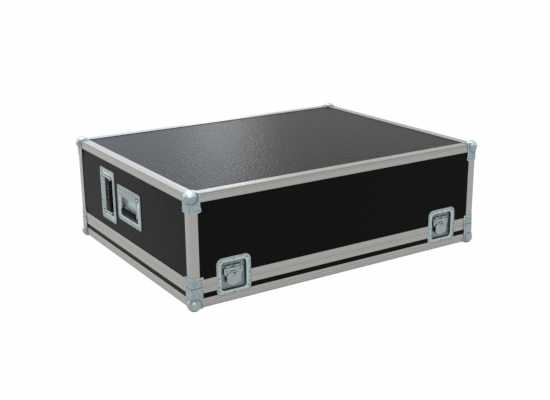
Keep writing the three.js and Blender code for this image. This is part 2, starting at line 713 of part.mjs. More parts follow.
function latches() {
  const { upper, lower } = latchDishes();
  const solids = { upper_dish: upper, lower_dish: lower, link: latchLink(), hook: latchHook(),
    hub: latchHub(), wing: latchWing() };
  for (const place of latchPlaces) {
    const parent = groupAt(latchFrame(place));
    for (const [part, solid] of Object.entries(solids)) {
      piece(`latch_${place.name}_${part}`, solid, part.endsWith('dish') ? 'dish' : 'mechanism', parent);
    }
  }
}

// Dish of a bail handle: drawn pocket, with a slot for each leg and a cradle for each hinge pin
function handleDish() {
  const flange = prism(rectangle(-handleLength / 2, handleLength / 2, -handleWidth / 2, handleWidth / 2,
    handleRound, smallSteps), -dishFlange, 0);
  const floor = -handlePocketDepth;
  const outer = tapered(handlePocketOutline(dishSheet - handleDraft), floor - dishSheet,
    handlePocketOutline(dishSheet), 0);
  const draftPast = (handleDraft * overrun) / handlePocketDepth;
  const inner = tapered(handlePocketOutline(-handleDraft), floor, handlePocketOutline(draftPast), overrun);
  const slotStart = pocketTowardHinge - cradleHalf - overrun;
  const troughs = (sign, grow) => {
    const along = [sign * (legSlotInner - grow), sign * (handlePocketLength / 2 + grow)];
    const across = [sign * (legSlotInner - grow), sign * (cradleEnd + grow)];
    return [
      barAlongX(cradleOutline(grow, slotStart), ...along.sort((a, b) => a - b)),
      barAlongX(cradleOutline(grow), ...across.sort((a, b) => a - b)),
    ];
  };
  const walls = [-1, 1].flatMap(sign => troughs(sign, dishSheet));
  const hollows = [-1, 1].flatMap(sign => troughs(sign, 0));
  const belowFace = block(-handleLength, handleLength, -handleLength, handleLength, -handleLength, 0);
  return cut(join([flange, outer, ...walls]).intersect(belowFace), [inner, ...hollows]);
}

// A round bar bent in one plane, with as many faces on each stretch as it needs
class BentBar extends THREE.Curve {
  constructor(stretches) {
    super();
    this.stretches = stretches;
    this.steps = stretches.reduce((sum, stretch) => sum + stretch.steps, 0);
  }

  getPoint(t, target = new THREE.Vector3()) {
    let at = t * this.steps;
    let index = 0;
    while (index < this.stretches.length - 1 && at > this.stretches[index].steps) {
      at -= this.stretches[index].steps;
      index++;
    }
    const { curve, steps } = this.stretches[index];
    return target.copy(curve.getPoint(at / steps));
  }

  getUtoTmapping(u) {
    return u;
  }
}

function bentBar(corners) {
  const stretches = [];
  const ends = corners.map(({ point }) => point);
  let from = ends[0];
  for (let index = 1; index < corners.length; index++) {
    const corner = ends[index];
    const bend = corners[index].bend || 0;
    const into = corner.clone().sub(ends[index - 1]).normalize();
    const straightEnd = corner.clone().addScaledVector(into, -bend);
    stretches.push({ curve: new THREE.LineCurve3(from, straightEnd), steps: 1 });
    if (bend > 0) {
      const away = ends[index + 1].clone().sub(corner).normalize();
      const bendEnd = corner.clone().addScaledVector(away, bend);
      stretches.push({ curve: new THREE.QuadraticBezierCurve3(straightEnd, corner, bendEnd), steps: 3 });
      from = bendEnd;
    }
  }
  return new BentBar(stretches);
}

// Bail: one bar from hinge pin to hinge pin, down its legs and through the grip
function handleBail() {
  const pinEnd = cradleEnd - seatGap;
  const leg = bailLegSpacing / 2;
  const gripLine = bailHinge - gripReach;
  const at = (x, y) => new THREE.Vector3(x, y, -bailDepth);
  const path = bentBar([
    { point: at(-pinEnd, bailHinge) }, { point: at(-leg, bailHinge), bend: bailHingeBend },
    { point: at(-leg, gripLine), bend: bailGripBend }, { point: at(leg, gripLine), bend: bailGripBend },
    { point: at(leg, bailHinge), bend: bailHingeBend }, { point: at(pinEnd, bailHinge) },
  ]);
  const section = new THREE.Shape(circle(0, 0, bailRadius, barSides));
  return solidOf(new THREE.ExtrudeGeometry(section, { steps: path.steps, extrudePath: path }));
}

// Grip: moulded sleeve, fuller in the middle, round the bail's bar
function handleGrip() {
  const gripHalf = bailLegSpacing / 2 - bailGripBend - seatGap;
  const gripLine = bailHinge - gripReach;
  const placeShares = [-1, -0.94, -0.55, 0, 0.55, 0.94, 1];
  const girthShares = [0.8, gripWaistShare, 0.97, 1, 0.97, gripWaistShare, 0.8];
  const rings = placeShares.map((place, index) => {
    const across = (girthShares[index] * gripWidth) / 2;
    const thick = (girthShares[index] * gripThickness) / 2;
    return circle(0, 0, 1, pinSides).map(({ x, y }) =>
      new THREE.Vector3(place * gripHalf, gripLine + across * x, thick * y - bailDepth));
  });
  const bore = barAlongX(circle(gripLine, -bailDepth, bailRadius + 2 * seatGap, barSides),
    -gripHalf - overrun, gripHalf + overrun);
  return cut(skin(rings), [bore]);
}

function handles() {
  const solids = { dish: handleDish(), bail: handleBail(), grip: handleGrip() };
  const partFinishes = { dish: 'dish', bail: 'mechanism', grip: 'grip' };
  for (const place of handlePlaces) {
    const parent = groupAt(handleFrame(place));
    for (const [part, solid] of Object.entries(solids)) {
      piece(`handle_${place.name}_${part}`, solid, partFinishes[part], parent);
    }
  }
}

hoodPanels();
hoodEdging();
hoodRim();
tray();
cornerHardware();
latches();
handles();

export default group;
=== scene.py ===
import math

import bmesh
import bpy
import numpy as np
from mathutils import Matrix, Vector
from mathutils.geometry import tessellate_polygon


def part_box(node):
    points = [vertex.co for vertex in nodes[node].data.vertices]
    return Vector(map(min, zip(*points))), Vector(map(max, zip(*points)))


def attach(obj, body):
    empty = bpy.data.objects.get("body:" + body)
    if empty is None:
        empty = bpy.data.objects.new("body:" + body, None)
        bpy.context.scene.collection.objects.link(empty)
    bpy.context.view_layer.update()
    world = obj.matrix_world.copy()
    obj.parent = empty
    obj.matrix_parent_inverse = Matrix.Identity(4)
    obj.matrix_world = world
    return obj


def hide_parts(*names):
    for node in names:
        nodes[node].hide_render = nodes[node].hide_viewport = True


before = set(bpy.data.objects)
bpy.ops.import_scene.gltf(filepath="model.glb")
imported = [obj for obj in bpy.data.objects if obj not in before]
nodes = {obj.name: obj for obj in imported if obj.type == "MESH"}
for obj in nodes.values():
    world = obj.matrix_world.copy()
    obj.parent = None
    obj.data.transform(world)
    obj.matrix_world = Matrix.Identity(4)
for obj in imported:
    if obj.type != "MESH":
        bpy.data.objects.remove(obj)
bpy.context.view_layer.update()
print("frame loaded:", len(nodes), "CAD nodes")

# All shapes below are worked out in millimetres and written to meshes in metres


def boxOf(node):  # lowest and highest corner of a CAD node
    low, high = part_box(node)
    return np.array(low) * 1000, np.array(high) * 1000


edgingTop = boxOf("hood_edging")[1]
case = dict(
    halfWidth=edgingTop[0], halfDepth=edgingTop[1], top=edgingTop[2],
    base=boxOf("tray_edging")[0][2],
    parting=boxOf("latch_fl_lower_dish")[1][2],  # where the hood meets the tray
    gap=0.3,  # between pieces that touch
    ply=9.5, metal=1.5,
)
metal, gap = case["metal"], case["gap"]
panelInset = metal + gap  # from the outside of the metal to the laminate
panelInner = panelInset + case["ply"]
channelInner, channelEnd = panelInner + gap, panelInner + gap + metal

upright = np.eye(3)
lyingAlongX = np.array([[0, 1, 0], [0, 0, 1], [1, 0, 0]], float)  # a piece's own Z laid along X
bothSides = (-1, 1)
tiny = 1e-6  # keeps a division away from zero


# Points, faces as one run of corner numbers with each face's size, a UV for each corner and
# a tone for each point: the materials darken it above 0 and brighten it below 0
class Skin:
    def __init__(self, points, corners, sizes, uv=None, tone=None):
        self.points = np.asarray(points, float).reshape(-1, 3)
        self.corners = np.asarray(corners, int).ravel()
        self.sizes = np.asarray(sizes, int).ravel()
        self.uv = np.zeros((len(self.corners), 2)) if uv is None else np.asarray(uv, float).reshape(-1, 2)
        self.tone = np.zeros(len(self.points)) if tone is None else np.asarray(tone, float).ravel()

    def __add__(self, other):
        return Skin(
            np.vstack([self.points, other.points]),
            np.concatenate([self.corners, other.corners + len(self.points)]),
            np.concatenate([self.sizes, other.sizes]),
            np.vstack([self.uv, other.uv]), np.concatenate([self.tone, other.tone]))

    def turnedOver(self):  # every face runs the other way round
        return Skin(self.points, self.corners[::-1], self.sizes[::-1], self.uv[::-1], self.tone)

    def placed(self, origin, axes=upright):  # origin + x * first axis + y * second + z * third
        axes = np.asarray(axes, float)
        points = np.asarray(origin, float) + self.points @ axes
        moved = Skin(points, self.corners, self.sizes, self.uv, self.tone)
        return moved if np.linalg.det(axes) > 0 else moved.turnedOver()


def together(skins):
    total = skins[0]
    for skin in skins[1:]:
        total = total + skin
    return total


# Square faces between neighbouring rows and columns of a grid of points, which may close on itself
def gridSkin(points, uv=None, tone=None, rowsClosed=False, columnsClosed=False):
    rows, columns = points.shape[:2]
    row = np.arange(rows if rowsClosed else rows - 1)[:, None]
    column = np.arange(columns if columnsClosed else columns - 1)[None]
    nextRow, nextColumn = (row + 1) % rows, (column + 1) % columns
    quads = np.stack(np.broadcast_arrays(
        row * columns + column, row * columns + nextColumn,
        nextRow * columns + nextColumn, nextRow * columns + column), -1)
    if uv is not None:
        uv = np.stack([uv[row, column], uv[row, column + 1], uv[row + 1, column + 1], uv[row + 1, column]], 2)
    return Skin(points, quads, np.full(quads.size // 4, 4), uv, tone)


def unit(vectors):
    return vectors / np.maximum(np.linalg.norm(vectors, axis=1), tiny)[:, None]


def paired(first, second):
    return np.stack(np.broadcast_arrays(first, second), -1)


def lengthAlong(path, closed=False):  # distance travelled at each point of a path
    path = np.vstack([path, path[:1]]) if closed else path
    return np.concatenate([[0], np.cumsum(np.linalg.norm(np.diff(path, axis=0), axis=1))])


def spokes(sides):  # (cosine, sine) at even steps of a full turn
    turn = np.linspace(0, 2 * math.pi, sides, endpoint=False)
    return np.stack([np.cos(turn), np.sin(turn)], -1)


def easeIn(value, low, high):  # smooth step from 0 to 1
    share = np.clip((value - low) / (high - low), 0, 1)
    return share * share * (3 - 2 * share)


# Each corner (x, y, radius) gives way to an arc that touches both of its sides
def outline(corners, steps=6):
    given = np.array([tuple(corner) + (0,) * (3 - len(corner)) for corner in corners], float)
    xy, radius = given[:, :2], given[:, 2]
    back, ahead = unit(np.roll(xy, 1, 0) - xy), unit(np.roll(xy, -1, 0) - xy)
    half = np.maximum(np.arccos(np.clip((back * ahead).sum(1), -1, 1)) / 2, tiny)
    centre = xy + unit(back + ahead) * (radius / np.sin(half))[:, None]
    reach = (radius / np.tan(half))[:, None]
    first, last = xy + back * reach - centre, xy + ahead * reach - centre
    sweep = np.arctan2(first[:, 0] * last[:, 1] - first[:, 1] * last[:, 0], (first * last).sum(1))
    turn = sweep[:, None] * np.linspace(0, 1, steps + 1)
    cosine, sine = np.cos(turn), np.sin(turn)
    arcs = centre[:, None] + np.stack([
        first[:, :1] * cosine - first[:, 1:] * sine, first[:, :1] * sine + first[:, 1:] * cosine], -1)
    kept = (radius > 0)[:, None] | (np.arange(steps + 1) == 0)
    return counterclockwise(arcs[kept])


def counterclockwise(loop):
    x, y = loop.T
    area = (x * np.roll(y, -1) - y * np.roll(x, -1)).sum()
    return loop if area > 0 else loop[::-1]


def rectangle(left, right, bottom, top, radius=0.0, steps=6):
    places = [(right, top), (left, top), (left, bottom), (right, bottom)]
    return outline([(*place, radius) for place in places], steps)


def circle(x, y, radius, sides=24):
    return np.array([x, y]) + radius * spokes(sides)


def mirrored(right):  # a half outline given from top to bottom or back, with its mirror image
    return right + [(-x, y, *rest) for x, y, *rest in reversed(right)]


# Every point of a loop moved outward along the mitre of its two sides
def grown(loop, distance):
    into, away = unit(loop - np.roll(loop, 1, 0)), unit(np.roll(loop, -1, 0) - loop)
    normals = [np.stack([side[:, 1], -side[:, 0]], -1) for side in (into, away)]
    facing = (normals[0] * normals[1]).sum(1)
    return loop + distance * (normals[0] + normals[1]) / np.maximum(1 + facing, 0.3)[:, None]


def atDepth(loop, depth):
    return np.column_stack([loop, np.full(len(loop), float(depth))])


# A sheet cut to a loop, with holes: its edges roll over by a quarter circle on both faces.
# A painted highlight brightens the edges, up to a ring that lies this far inside the roll on each face
highlightReach = 0.7


def plate(loop, back, front, holes=(), bevel=0.25, rolls=1, edgeHighlight=0.0):
    loops = [counterclockwise(loop)] + [counterclockwise(hole)[::-1] for hole in holes]
    turn = np.linspace(0, math.pi / 2, rolls + 1)
    inset = bevel * (1 - np.sin(turn))
    heights = np.concatenate([back + bevel * (1 - np.cos(turn)), front - bevel * (1 - np.cos(turn[::-1]))])
    insets = np.concatenate([inset, inset[::-1]])
    tones = np.zeros(len(insets)) - edgeHighlight
    if edgeHighlight:
        heights = np.concatenate([[back], heights, [front]])
        insets = np.concatenate([[bevel + highlightReach], insets, [bevel + highlightReach]])
        tones = np.concatenate([[0], tones, [0]])
    walls, starts, begin = [], [], 0
    for around in loops:
        rings = np.stack([atDepth(grown(around, -inward), height) for inward, height in zip(insets, heights)])
        uv = paired(heights[:, None], lengthAlong(around, closed=True)[None])
        walls.append(gridSkin(rings, uv, np.repeat(tones, len(around)), columnsClosed=True))
        starts.append(begin)
        begin += rings.shape[0] * rings.shape[1]
    body = together(walls)
    lengths, lastRing = [len(around) for around in loops], len(insets) - 1
    lower = np.concatenate([start + np.arange(count) for start, count in zip(starts, lengths)])
    upper = lower + lastRing * np.repeat(lengths, lengths)
    split = np.split(body.points[upper], np.cumsum(lengths)[:-1])
    faces = np.array(tessellate_polygon([list(map(Vector, part)) for part in split]))
    a, b, c = body.points[upper][faces].transpose(1, 0, 2)[:, :, :2]
    clockwise = (b - a)[:, 0] * (c - a)[:, 1] - (b - a)[:, 1] * (c - a)[:, 0] < 0
    faces[clockwise] = faces[clockwise][:, ::-1]
    for cap in (upper[faces], lower[faces][:, ::-1]):
        body = Skin(body.points, np.concatenate([body.corners, cap.ravel()]),
                    np.concatenate([body.sizes, np.full(len(cap), 3)]),
                    np.vstack([body.uv, body.points[cap.ravel(), :2]]), body.tone)
    return body


def plateAlongX(loop, start, end, **edges):  # a plate whose thickness runs along X, its loop in Y and Z
    return plate(loop, *sorted((start, end)), **edges).placed((0, 0, 0), lyingAlongX)


# Rings of points joined in order, the first and the last drawn in to their middles
def closedLoft(rings, tone=None):
    rings = np.asarray(rings)
    ends = [np.broadcast_to(ring.mean(0), ring.shape) for ring in (rings[0], rings[-1])]
    tones = None if tone is None else np.repeat([tone[0], *tone, tone[-1]], rings.shape[1])
    return gridSkin(np.concatenate([[ends[0]], rings, [ends[1]]]), tone=tones, columnsClosed=True)


# A profile of (radius, height) points turned round Z: radius * (cos, sin) at each angle
def turned(profile, sides=16, closed=False, tone=None):
    profile = np.asarray(profile, float)
    across = profile[:, None, :1] * spokes(sides)[None]
    heights = np.broadcast_to(profile[:, None, 1:], (len(profile), sides, 1))
    tones = None if tone is None else np.repeat(np.asarray(tone, float), sides)
    return gridSkin(np.concatenate([across, heights], -1), tone=tones, rowsClosed=closed, columnsClosed=True)


# A round bar along its own Z, with its end edges rounded off
def roundBar(radius, start, end, dome=0.5, sides=16):
    return turned([(0, start), (radius - dome, start), (radius, start + dome),
                   (radius, end - dome), (radius - dome, end), (0, end)], sides)


# A round section carried square to a path and closed at its two ends
def tube(path, radius, sides=12, reference=(0, 0, 1)):
    ahead = unit(np.gradient(path, axis=0))
    side = unit(np.cross(ahead, np.asarray(reference, float)))
    other = np.cross(side, ahead)
    cosine, sine = spokes(sides).T[:, :, None]
    rings = path[:, None] + radius * (cosine * side[:, None] + sine * other[:, None])
    around = np.linspace(0, 1, sides + 1) * 2 * math.pi * radius
    skin = gridSkin(rings, paired(lengthAlong(path)[:, None], around[None]), columnsClosed=True)
    return together([skin, closedEnd(rings[0][::-1]), closedEnd(rings[-1])])


def closedEnd(ring):  # a fan of faces from a ring to its middle
    return gridSkin(np.stack([ring, np.broadcast_to(ring.mean(0), ring.shape)]), columnsClosed=True)


# A closed section of (inset, height) points carried round the case and mitred at its four corners
def roundTheCase(section, tone):
    corners = np.array([(1, 1), (-1, 1), (-1, -1), (1, -1)], float)
    half = np.array([case["halfWidth"], case["halfDepth"]])
    rings = np.concatenate([
        corners[:, None] * (half - section[None, :, :1]),
        np.broadcast_to(section[None, :, 1:], (4, len(section), 1))], -1)
    across = lengthAlong(section, closed=True)
    walls = []
    for side in range(4):
        pair = rings[[side, (side + 1) % 4]]
        along = pair[:, :, side % 2]
        uv = paired(np.column_stack([along, along[:, 0]]), across[None])
        walls.append(gridSkin(pair, uv, np.tile(tone, 2), columnsClosed=True))
    return together(walls)


# A skin's mesh, in metres. Its doubles are merged, and a shut skin's normals are turned outward
def meshOf(name, skin, shut=True):
    mesh = bpy.data.meshes.new(name)
    mesh.vertices.add(len(skin.points))
    mesh.vertices.foreach_set("co", (skin.points / 1000).astype(np.float32).ravel())
    mesh.loops.add(len(skin.corners))
    mesh.loops.foreach_set("vertex_index", skin.corners.astype(np.int32))
    mesh.polygons.add(len(skin.sizes))
    starts = np.cumsum(skin.sizes) - skin.sizes
    mesh.polygons.foreach_set("loop_start", starts.astype(np.int32))
    mesh.uv_layers.new(name="surface").uv.foreach_set("vector", (skin.uv / 1000).astype(np.float32).ravel())
    mesh.attributes.new("tone", "FLOAT", "POINT").data.foreach_set("value", skin.tone.astype(np.float32))
    mesh.update(calc_edges=True)
    work = bmesh.new()
    work.from_mesh(mesh)
    bmesh.ops.remove_doubles(work, verts=work.verts, dist=2e-6)
    bmesh.ops.dissolve_degenerate(work, edges=work.edges, dist=1e-7)
    if shut:
        bmesh.ops.recalc_face_normals(work, faces=work.faces)
    work.to_mesh(mesh)
    work.free()
    return mesh


def objectOf(name, data):
    made = bpy.data.objects.new(name, data)
    bpy.context.scene.collection.objects.link(made)
    return made


def skinOf(mesh):  # the skin that a mesh holds, back in millimetres
    vertices, loops, faces = len(mesh.vertices), len(mesh.loops), len(mesh.polygons)
    points, tone, uv = np.zeros(vertices * 3), np.zeros(vertices), np.zeros(loops * 2)
    corners, sizes = np.zeros(loops, np.int32), np.zeros(faces, np.int32)
    mesh.vertices.foreach_get("co", points)
    mesh.loops.foreach_get("vertex_index", corners)
    mesh.polygons.foreach_get("loop_total", sizes)
    if "surface" in mesh.uv_layers:
        mesh.uv_layers["surface"].uv.foreach_get("vector", uv)
    if "tone" in mesh.attributes:
        mesh.attributes["tone"].data.foreach_get("value", tone)
    return Skin(points * 1000, corners, sizes, uv * 1000, tone)


def evaluated(made):  # what the first of some helper objects becomes under its modifiers
    bpy.context.view_layer.update()
    settled = made[0].evaluated_get(bpy.context.evaluated_depsgraph_get())
    result = skinOf(bpy.data.meshes.new_from_object(settled))
    for piece in made:
        bpy.data.objects.remove(piece)
    return result


# A skin with others cut from it or joined to it by Boolean modifiers, in the order given
def carved(base, steps):
    made = [objectOf("carvedBase", meshOf("carvedBase", base))]
    for operation, tool in steps:
        made.append(objectOf("carvingTool", meshOf("carvingTool", tool)))
        modifier = made[0].modifiers.new("step", "BOOLEAN")
        modifier.operation, modifier.solver, modifier.object = operation, "MANIFOLD", made[-1]
    return evaluated(made)


def thickened(skin, thickness):  # an open skin given a thickness behind it
    made = objectOf("openSheet", meshOf("openSheet", skin, shut=False))
    wall = made.modifiers.new("wall", "SOLIDIFY")
    wall.thickness, wall.offset, wall.use_even_offset = thickness / 1000, -1, True
    return evaluated([made])


def madePiece(name, skin, material, body, slot, stands=(), sharp=32, sheet=0.0):
    mesh = meshOf(name, thickened(skin, sheet) if sheet else skin)
    mesh.polygons.foreach_set("use_smooth", np.ones(len(mesh.polygons), bool))
    mesh.set_sharp_from_angle(angle=math.radians(sharp))
    mesh.materials.append(material)
    piece = objectOf(name, mesh)
    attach(piece, body)
    if stands:
        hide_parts(*stands)
    return piece


# Material maths: an expression on these values adds Math nodes
class Value:
    def __init__(self, graph, socket):
        self.graph, self.socket = graph, socket

    def maths(self, operation, *others):
        given = {index + 1: other for index, other in enumerate(others)}
        return self.graph.node("Math", {"operation": operation}, {0: self, **given})

    def __add__(self, other):
        return self.maths("ADD", other)

    def __sub__(self, other):
        return self.maths("SUBTRACT", other)

    def __rsub__(self, other):
        return self.graph.node("Math", {"operation": "SUBTRACT"}, {0: other, 1: self})

    def __mul__(self, other):
        return self.maths("MULTIPLY", other)

    def __truediv__(self, other):
        return self.maths("DIVIDE", other)

    def __gt__(self, other):
        return self.maths("GREATER_THAN", other)

    def __abs__(self):
        return self.maths("ABSOLUTE")

    __radd__ = __add__


# A node tree, with one method that adds any node to it
class Graph:
    def __init__(self, tree):
        self.tree = tree

    def node(self, kind, settings=None, inputs=None, output=0):
        made = self.tree.nodes.new("ShaderNode" + kind)
        for name, value in (settings or {}).items():
            setattr(made, name, value)
        for name, value in (inputs or {}).items():
            if isinstance(value, Value):
                self.tree.links.new(value.socket, made.inputs[name])
            else:
                made.inputs[name].default_value = value
        return Value(self, made.outputs[output])

    def seen(self):  # 1 for what is seen, also in a mirror or through glass, and 0 for the light that falls
        rays = ("Camera", "Glossy", "Transmission")
        camera, mirror, glass = (self.node("LightPath", output=f"Is {ray} Ray") for ray in rays)
        return camera + mirror + glass

    def blended(self, share, first, second, end):  # two shaders mixed and led to the end of the tree
        mix = self.node("MixShader", {}, {0: share, 1: first, 2: second})
        self.tree.links.new(mix.socket, self.tree.nodes[end].inputs["Surface"])


# A material with its shader, whose constants are set on the shader's own sockets
class Paint(Graph):
    def __init__(self, name, **constants):
        self.material = bpy.data.materials.new(name)
        self.material.use_nodes = True
        super().__init__(self.material.node_tree)
        self.shader = self.tree.nodes["Principled BSDF"]
        for socket, value in constants.items():
            self.shader.inputs[socket.replace("_", " ")].default_value = value

    def place(self):  # where the point is on the object, in metres
        return self.node("TexCoord", output="Object")

    def along(self):  # the piece's own lengthwise and crosswise place
        return self.node("UVMap", {"uv_map": "surface"})

    def tone(self):
        return self.node("Attribute", {"attribute_name": "tone"}, output="Fac")

    def stretched(self, vector, scale):
        return self.node("Mapping", {}, {"Vector": vector, "Scale": scale})

    def noise(self, vector, scale, detail=2.0, roughness=0.5):
        inputs = {"Vector": vector, "Scale": scale, "Detail": detail, "Roughness": roughness}
        return self.node("TexNoise", {}, inputs)

    def cells(self, vector, scale, feature="F1"):
        return self.node("TexVoronoi", {"feature": feature}, {"Vector": vector, "Scale": scale})

    def shaded(self, colour, shade):
        return self.node("VectorMath", {"operation": "SCALE"}, {0: colour, "Scale": shade})

    def mixed(self, share, first, second):  # two colours by a share
        inputs = {0: share, 6: withAlpha(first), 7: withAlpha(second)}
        return self.node("Mix", {"data_type": "RGBA"}, inputs, output=2)

    def bump(self, height, distance, strength):
        return self.node("Bump", {}, {"Height": height, "Distance": distance, "Strength": strength})

    def feeds(self, **sockets):
        for socket, value in sockets.items():
            self.tree.links.new(value.socket, self.shader.inputs[socket.replace("_", " ")])
        return self.material


def withAlpha(colour):
    return colour if isinstance(colour, Value) else (*colour, 1)


# Finishes. Scales are in cells or waves to a metre, and a bump is its depth in metres and its strength


# Extruded aluminium: fine lengthwise streaks, faint handling marks and darker grooves
def aluminiumFinish():
    look = dict(
        colour=(0.365, 0.36, 0.342), streakScale=(6, 2600, 1), streak=0.05, blotchScale=22.0, blotch=0.05,
        rough=0.40, roughStreak=0.06, roughBlotch=0.1, groove=0.45, streakBump=(0.00004, 0.6))
    paint = Paint("satinAluminium", Metallic=1.0)
    streaks = paint.noise(paint.stretched(paint.along(), look["streakScale"]), 1.0, detail=3.0, roughness=0.6)
    blotches = paint.noise(paint.place(), look["blotchScale"], detail=3.0, roughness=0.55)
    shade = 1 + (streaks - 0.5) * look["streak"] * 2 + (blotches - 0.5) * look["blotch"] * 2
    shade = shade * (1 - paint.tone() * look["groove"])
    rough = look["rough"] + (streaks - 0.5) * look["roughStreak"] * 2 + (blotches - 0.5) * look["roughBlotch"]
    return paint.feeds(Base_Color=paint.shaded(look["colour"], shade), Roughness=rough,
                       Normal=paint.bump(streaks, *look["streakBump"]))


# Bright zinc plating: a bluish sheet with fine mottling, darkened by a piece's tone for painted shade and
# brightened by it for painted highlights, roughened by both
zinc = dict(
    spangleScale=260.0, cloudScale=120.0, cloudBump=(0.00003, 0.5), roughCloud=0.18,
    toneShade=0.8, toneRough=0.3,
    sorts=dict(
        cornerZinc=dict(colour=(0.275, 0.33, 0.345), rough=0.27, mottle=0.22),
        dishZinc=dict(colour=(0.245, 0.295, 0.30), rough=0.28, mottle=0.26),
        mechanismZinc=dict(colour=(0.30, 0.345, 0.35), rough=0.24, mottle=0.10),
        rivetSteel=dict(colour=(0.36, 0.385, 0.39), rough=0.28, mottle=0.05)),
)


def zincFinish(name):
    sort = zinc["sorts"][name]
    paint = Paint(name, Metallic=1.0)
    place = paint.place()
    spangle = paint.cells(place, zinc["spangleScale"])
    cloud = paint.noise(place, zinc["cloudScale"], detail=4.0, roughness=0.6)
    shade = 1 + (spangle - 0.4) * sort["mottle"] + (cloud - 0.5) * sort["mottle"] * 4
    shade = shade * (1 - paint.tone() * zinc["toneShade"])
    rough = sort["rough"] + (cloud - 0.5) * zinc["roughCloud"] + abs(paint.tone()) * zinc["toneRough"]
    return paint.feeds(Base_Color=paint.shaded(sort["colour"], shade), Roughness=rough,
                       Normal=paint.bump(cloud, *zinc["cloudBump"]))


# Plywood board: a dark pebbled laminate on its outer skin, and birch inside and on its edges
board = dict(
    laminate=(0.0052, 0.0052, 0.0052), laminateSkin=0.0008, laminateRough=0.31, fineRough=0.06,
    pebbleScale=430.0, pebbleShade=0.3, pebbleBump=(0.0002, 0.8), fineScale=1400.0, fineShare=0.35,
    swellScale=120.0, topSwellShare=8.0, sideSwellShare=4.0,  # the top's laminate waves more
    birch=(0.56, 0.40, 0.24), birchDark=(0.40, 0.26, 0.14), birchRough=0.62,
    grainScale=(14, 14, 220), grainShare=0.55, veneer=0.00135, veneerShare=0.35,
)


def boardFinish(name, measured, swellShare):
    paint = Paint(name, Specular_IOR_Level=0.03)
    place = paint.place()
    axes = [paint.node("SeparateXYZ", {}, {"Vector": place}, output=axis) for axis in "XYZ"]
    outward, ply = measured(*axes)
    onSkin = outward > -board["laminateSkin"]
    pebbles = paint.cells(place, board["pebbleScale"], "SMOOTH_F1")
    fine = paint.noise(place, board["fineScale"], detail=2.0)
    shade = board["pebbleShade"]
    laminate = paint.shaded(board["laminate"], 1 - shade / 2 + pebbles * shade)
    grain = paint.noise(paint.stretched(place, board["grainScale"]), 1.0, detail=4.0, roughness=0.6)
    band = ply.maths("PINGPONG", board["veneer"]) / board["veneer"]
    darkShare = grain * board["grainShare"] + band * board["veneerShare"]
    birch = paint.mixed(darkShare, board["birch"], board["birchDark"])
    smoother = board["laminateRough"] - board["birchRough"] + (fine - 0.5) * board["fineRough"]
    swell = paint.noise(place, board["swellScale"], detail=1.0)
    height = onSkin * (pebbles + fine * board["fineShare"] + swell * swellShare)
    return paint.feeds(
        Base_Color=paint.mixed(onSkin, birch, laminate), Roughness=onSkin * smoother + board["birchRough"],
        Normal=paint.bump(height, *board["pebbleBump"]))


def gripFinish():
    look = dict(colour=(0.004, 0.004, 0.0045), rough=0.42, hazeScale=45.0, hazeShade=0.5, hazeRough=0.2,
                grainScale=900.0, grainBump=(0.00008, 0.7))
    paint = Paint("blackGrip", Specular_IOR_Level=0.0, Coat_Weight=0.12, Coat_Roughness=0.35)
    place = paint.place()
    grain = paint.cells(place, look["grainScale"], "SMOOTH_F1")
    haze = paint.noise(place, look["hazeScale"], detail=3.0)
    colour = paint.shaded(look["colour"], 1 - look["hazeShade"] / 2 + haze * look["hazeShade"])
    return paint.feeds(Base_Color=colour, Roughness=look["rough"] + haze * look["hazeRough"],
                       Normal=paint.bump(grain, *look["grainBump"]))


def foamFinish():
    look = dict(dark=(0.012, 0.012, 0.013), light=(0.036, 0.036, 0.039), rough=0.9, roughCloud=0.1,
                poreScale=1100.0, poreShare=0.8, poreBump=(0.0006, 0.9), cloudScale=30.0, cloudShare=0.5)
    paint = Paint("charcoalFoam", Specular_IOR_Level=0.15)
    place = paint.place()
    pores = paint.cells(place, look["poreScale"])
    cloud = paint.noise(place, look["cloudScale"], detail=4.0, roughness=0.6)
    lightShare = pores * look["poreShare"] + (cloud - 0.5) * look["cloudShare"]
    colour = paint.mixed(lightShare, look["dark"], look["light"])
    return paint.feeds(Base_Color=colour, Roughness=look["rough"] + (cloud - 0.5) * look["roughCloud"],
                       Normal=paint.bump(pores, *look["poreBump"]))


aluminium = aluminiumFinish()
cornerZinc, dishZinc, mechanismZinc, rivetSteel = (zincFinish(name) for name in zinc["sorts"])
blackGrip = gripFinish()
charcoalFoam = foamFinish()

# For each board, in metres: how far a point lies outside the laminate's face, and its place among the plies
halfX, halfY, inset = case["halfWidth"] / 1000, case["halfDepth"] / 1000, panelInset / 1000
boards = {
    "hood_top_panel": lambda x, y, z: (z - (case["top"] / 1000 - inset), z),
    "tray_floor_panel": lambda x, y, z: ((z - (case["base"] / 1000 + inset)) * -1, z),
    "tray_walls": lambda x, y, z: (
        (abs(x) - (halfX - inset)).maths("MAXIMUM", abs(y) - (halfY - inset)),
        (abs(x) - halfX).maths("MAXIMUM", abs(y) - halfY)),
}
for end in ("front", "rear"):
    boards[f"hood_{end}_panel"] = lambda x, y, z: (abs(y) - (halfY - inset), y)
for end in ("left", "right"):
    boards[f"hood_{end}_panel"] = lambda x, y, z: (abs(x) - (halfX - inset), x)
for node, measured in boards.items():
    swellShare = board["topSwellShare" if node == "hood_top_panel" else "sideSwellShare"]
    nodes[node].data.materials.clear()
    nodes[node].data.materials.append(boardFinish("board_" + node, measured, swellShare))
print("finishes ready")

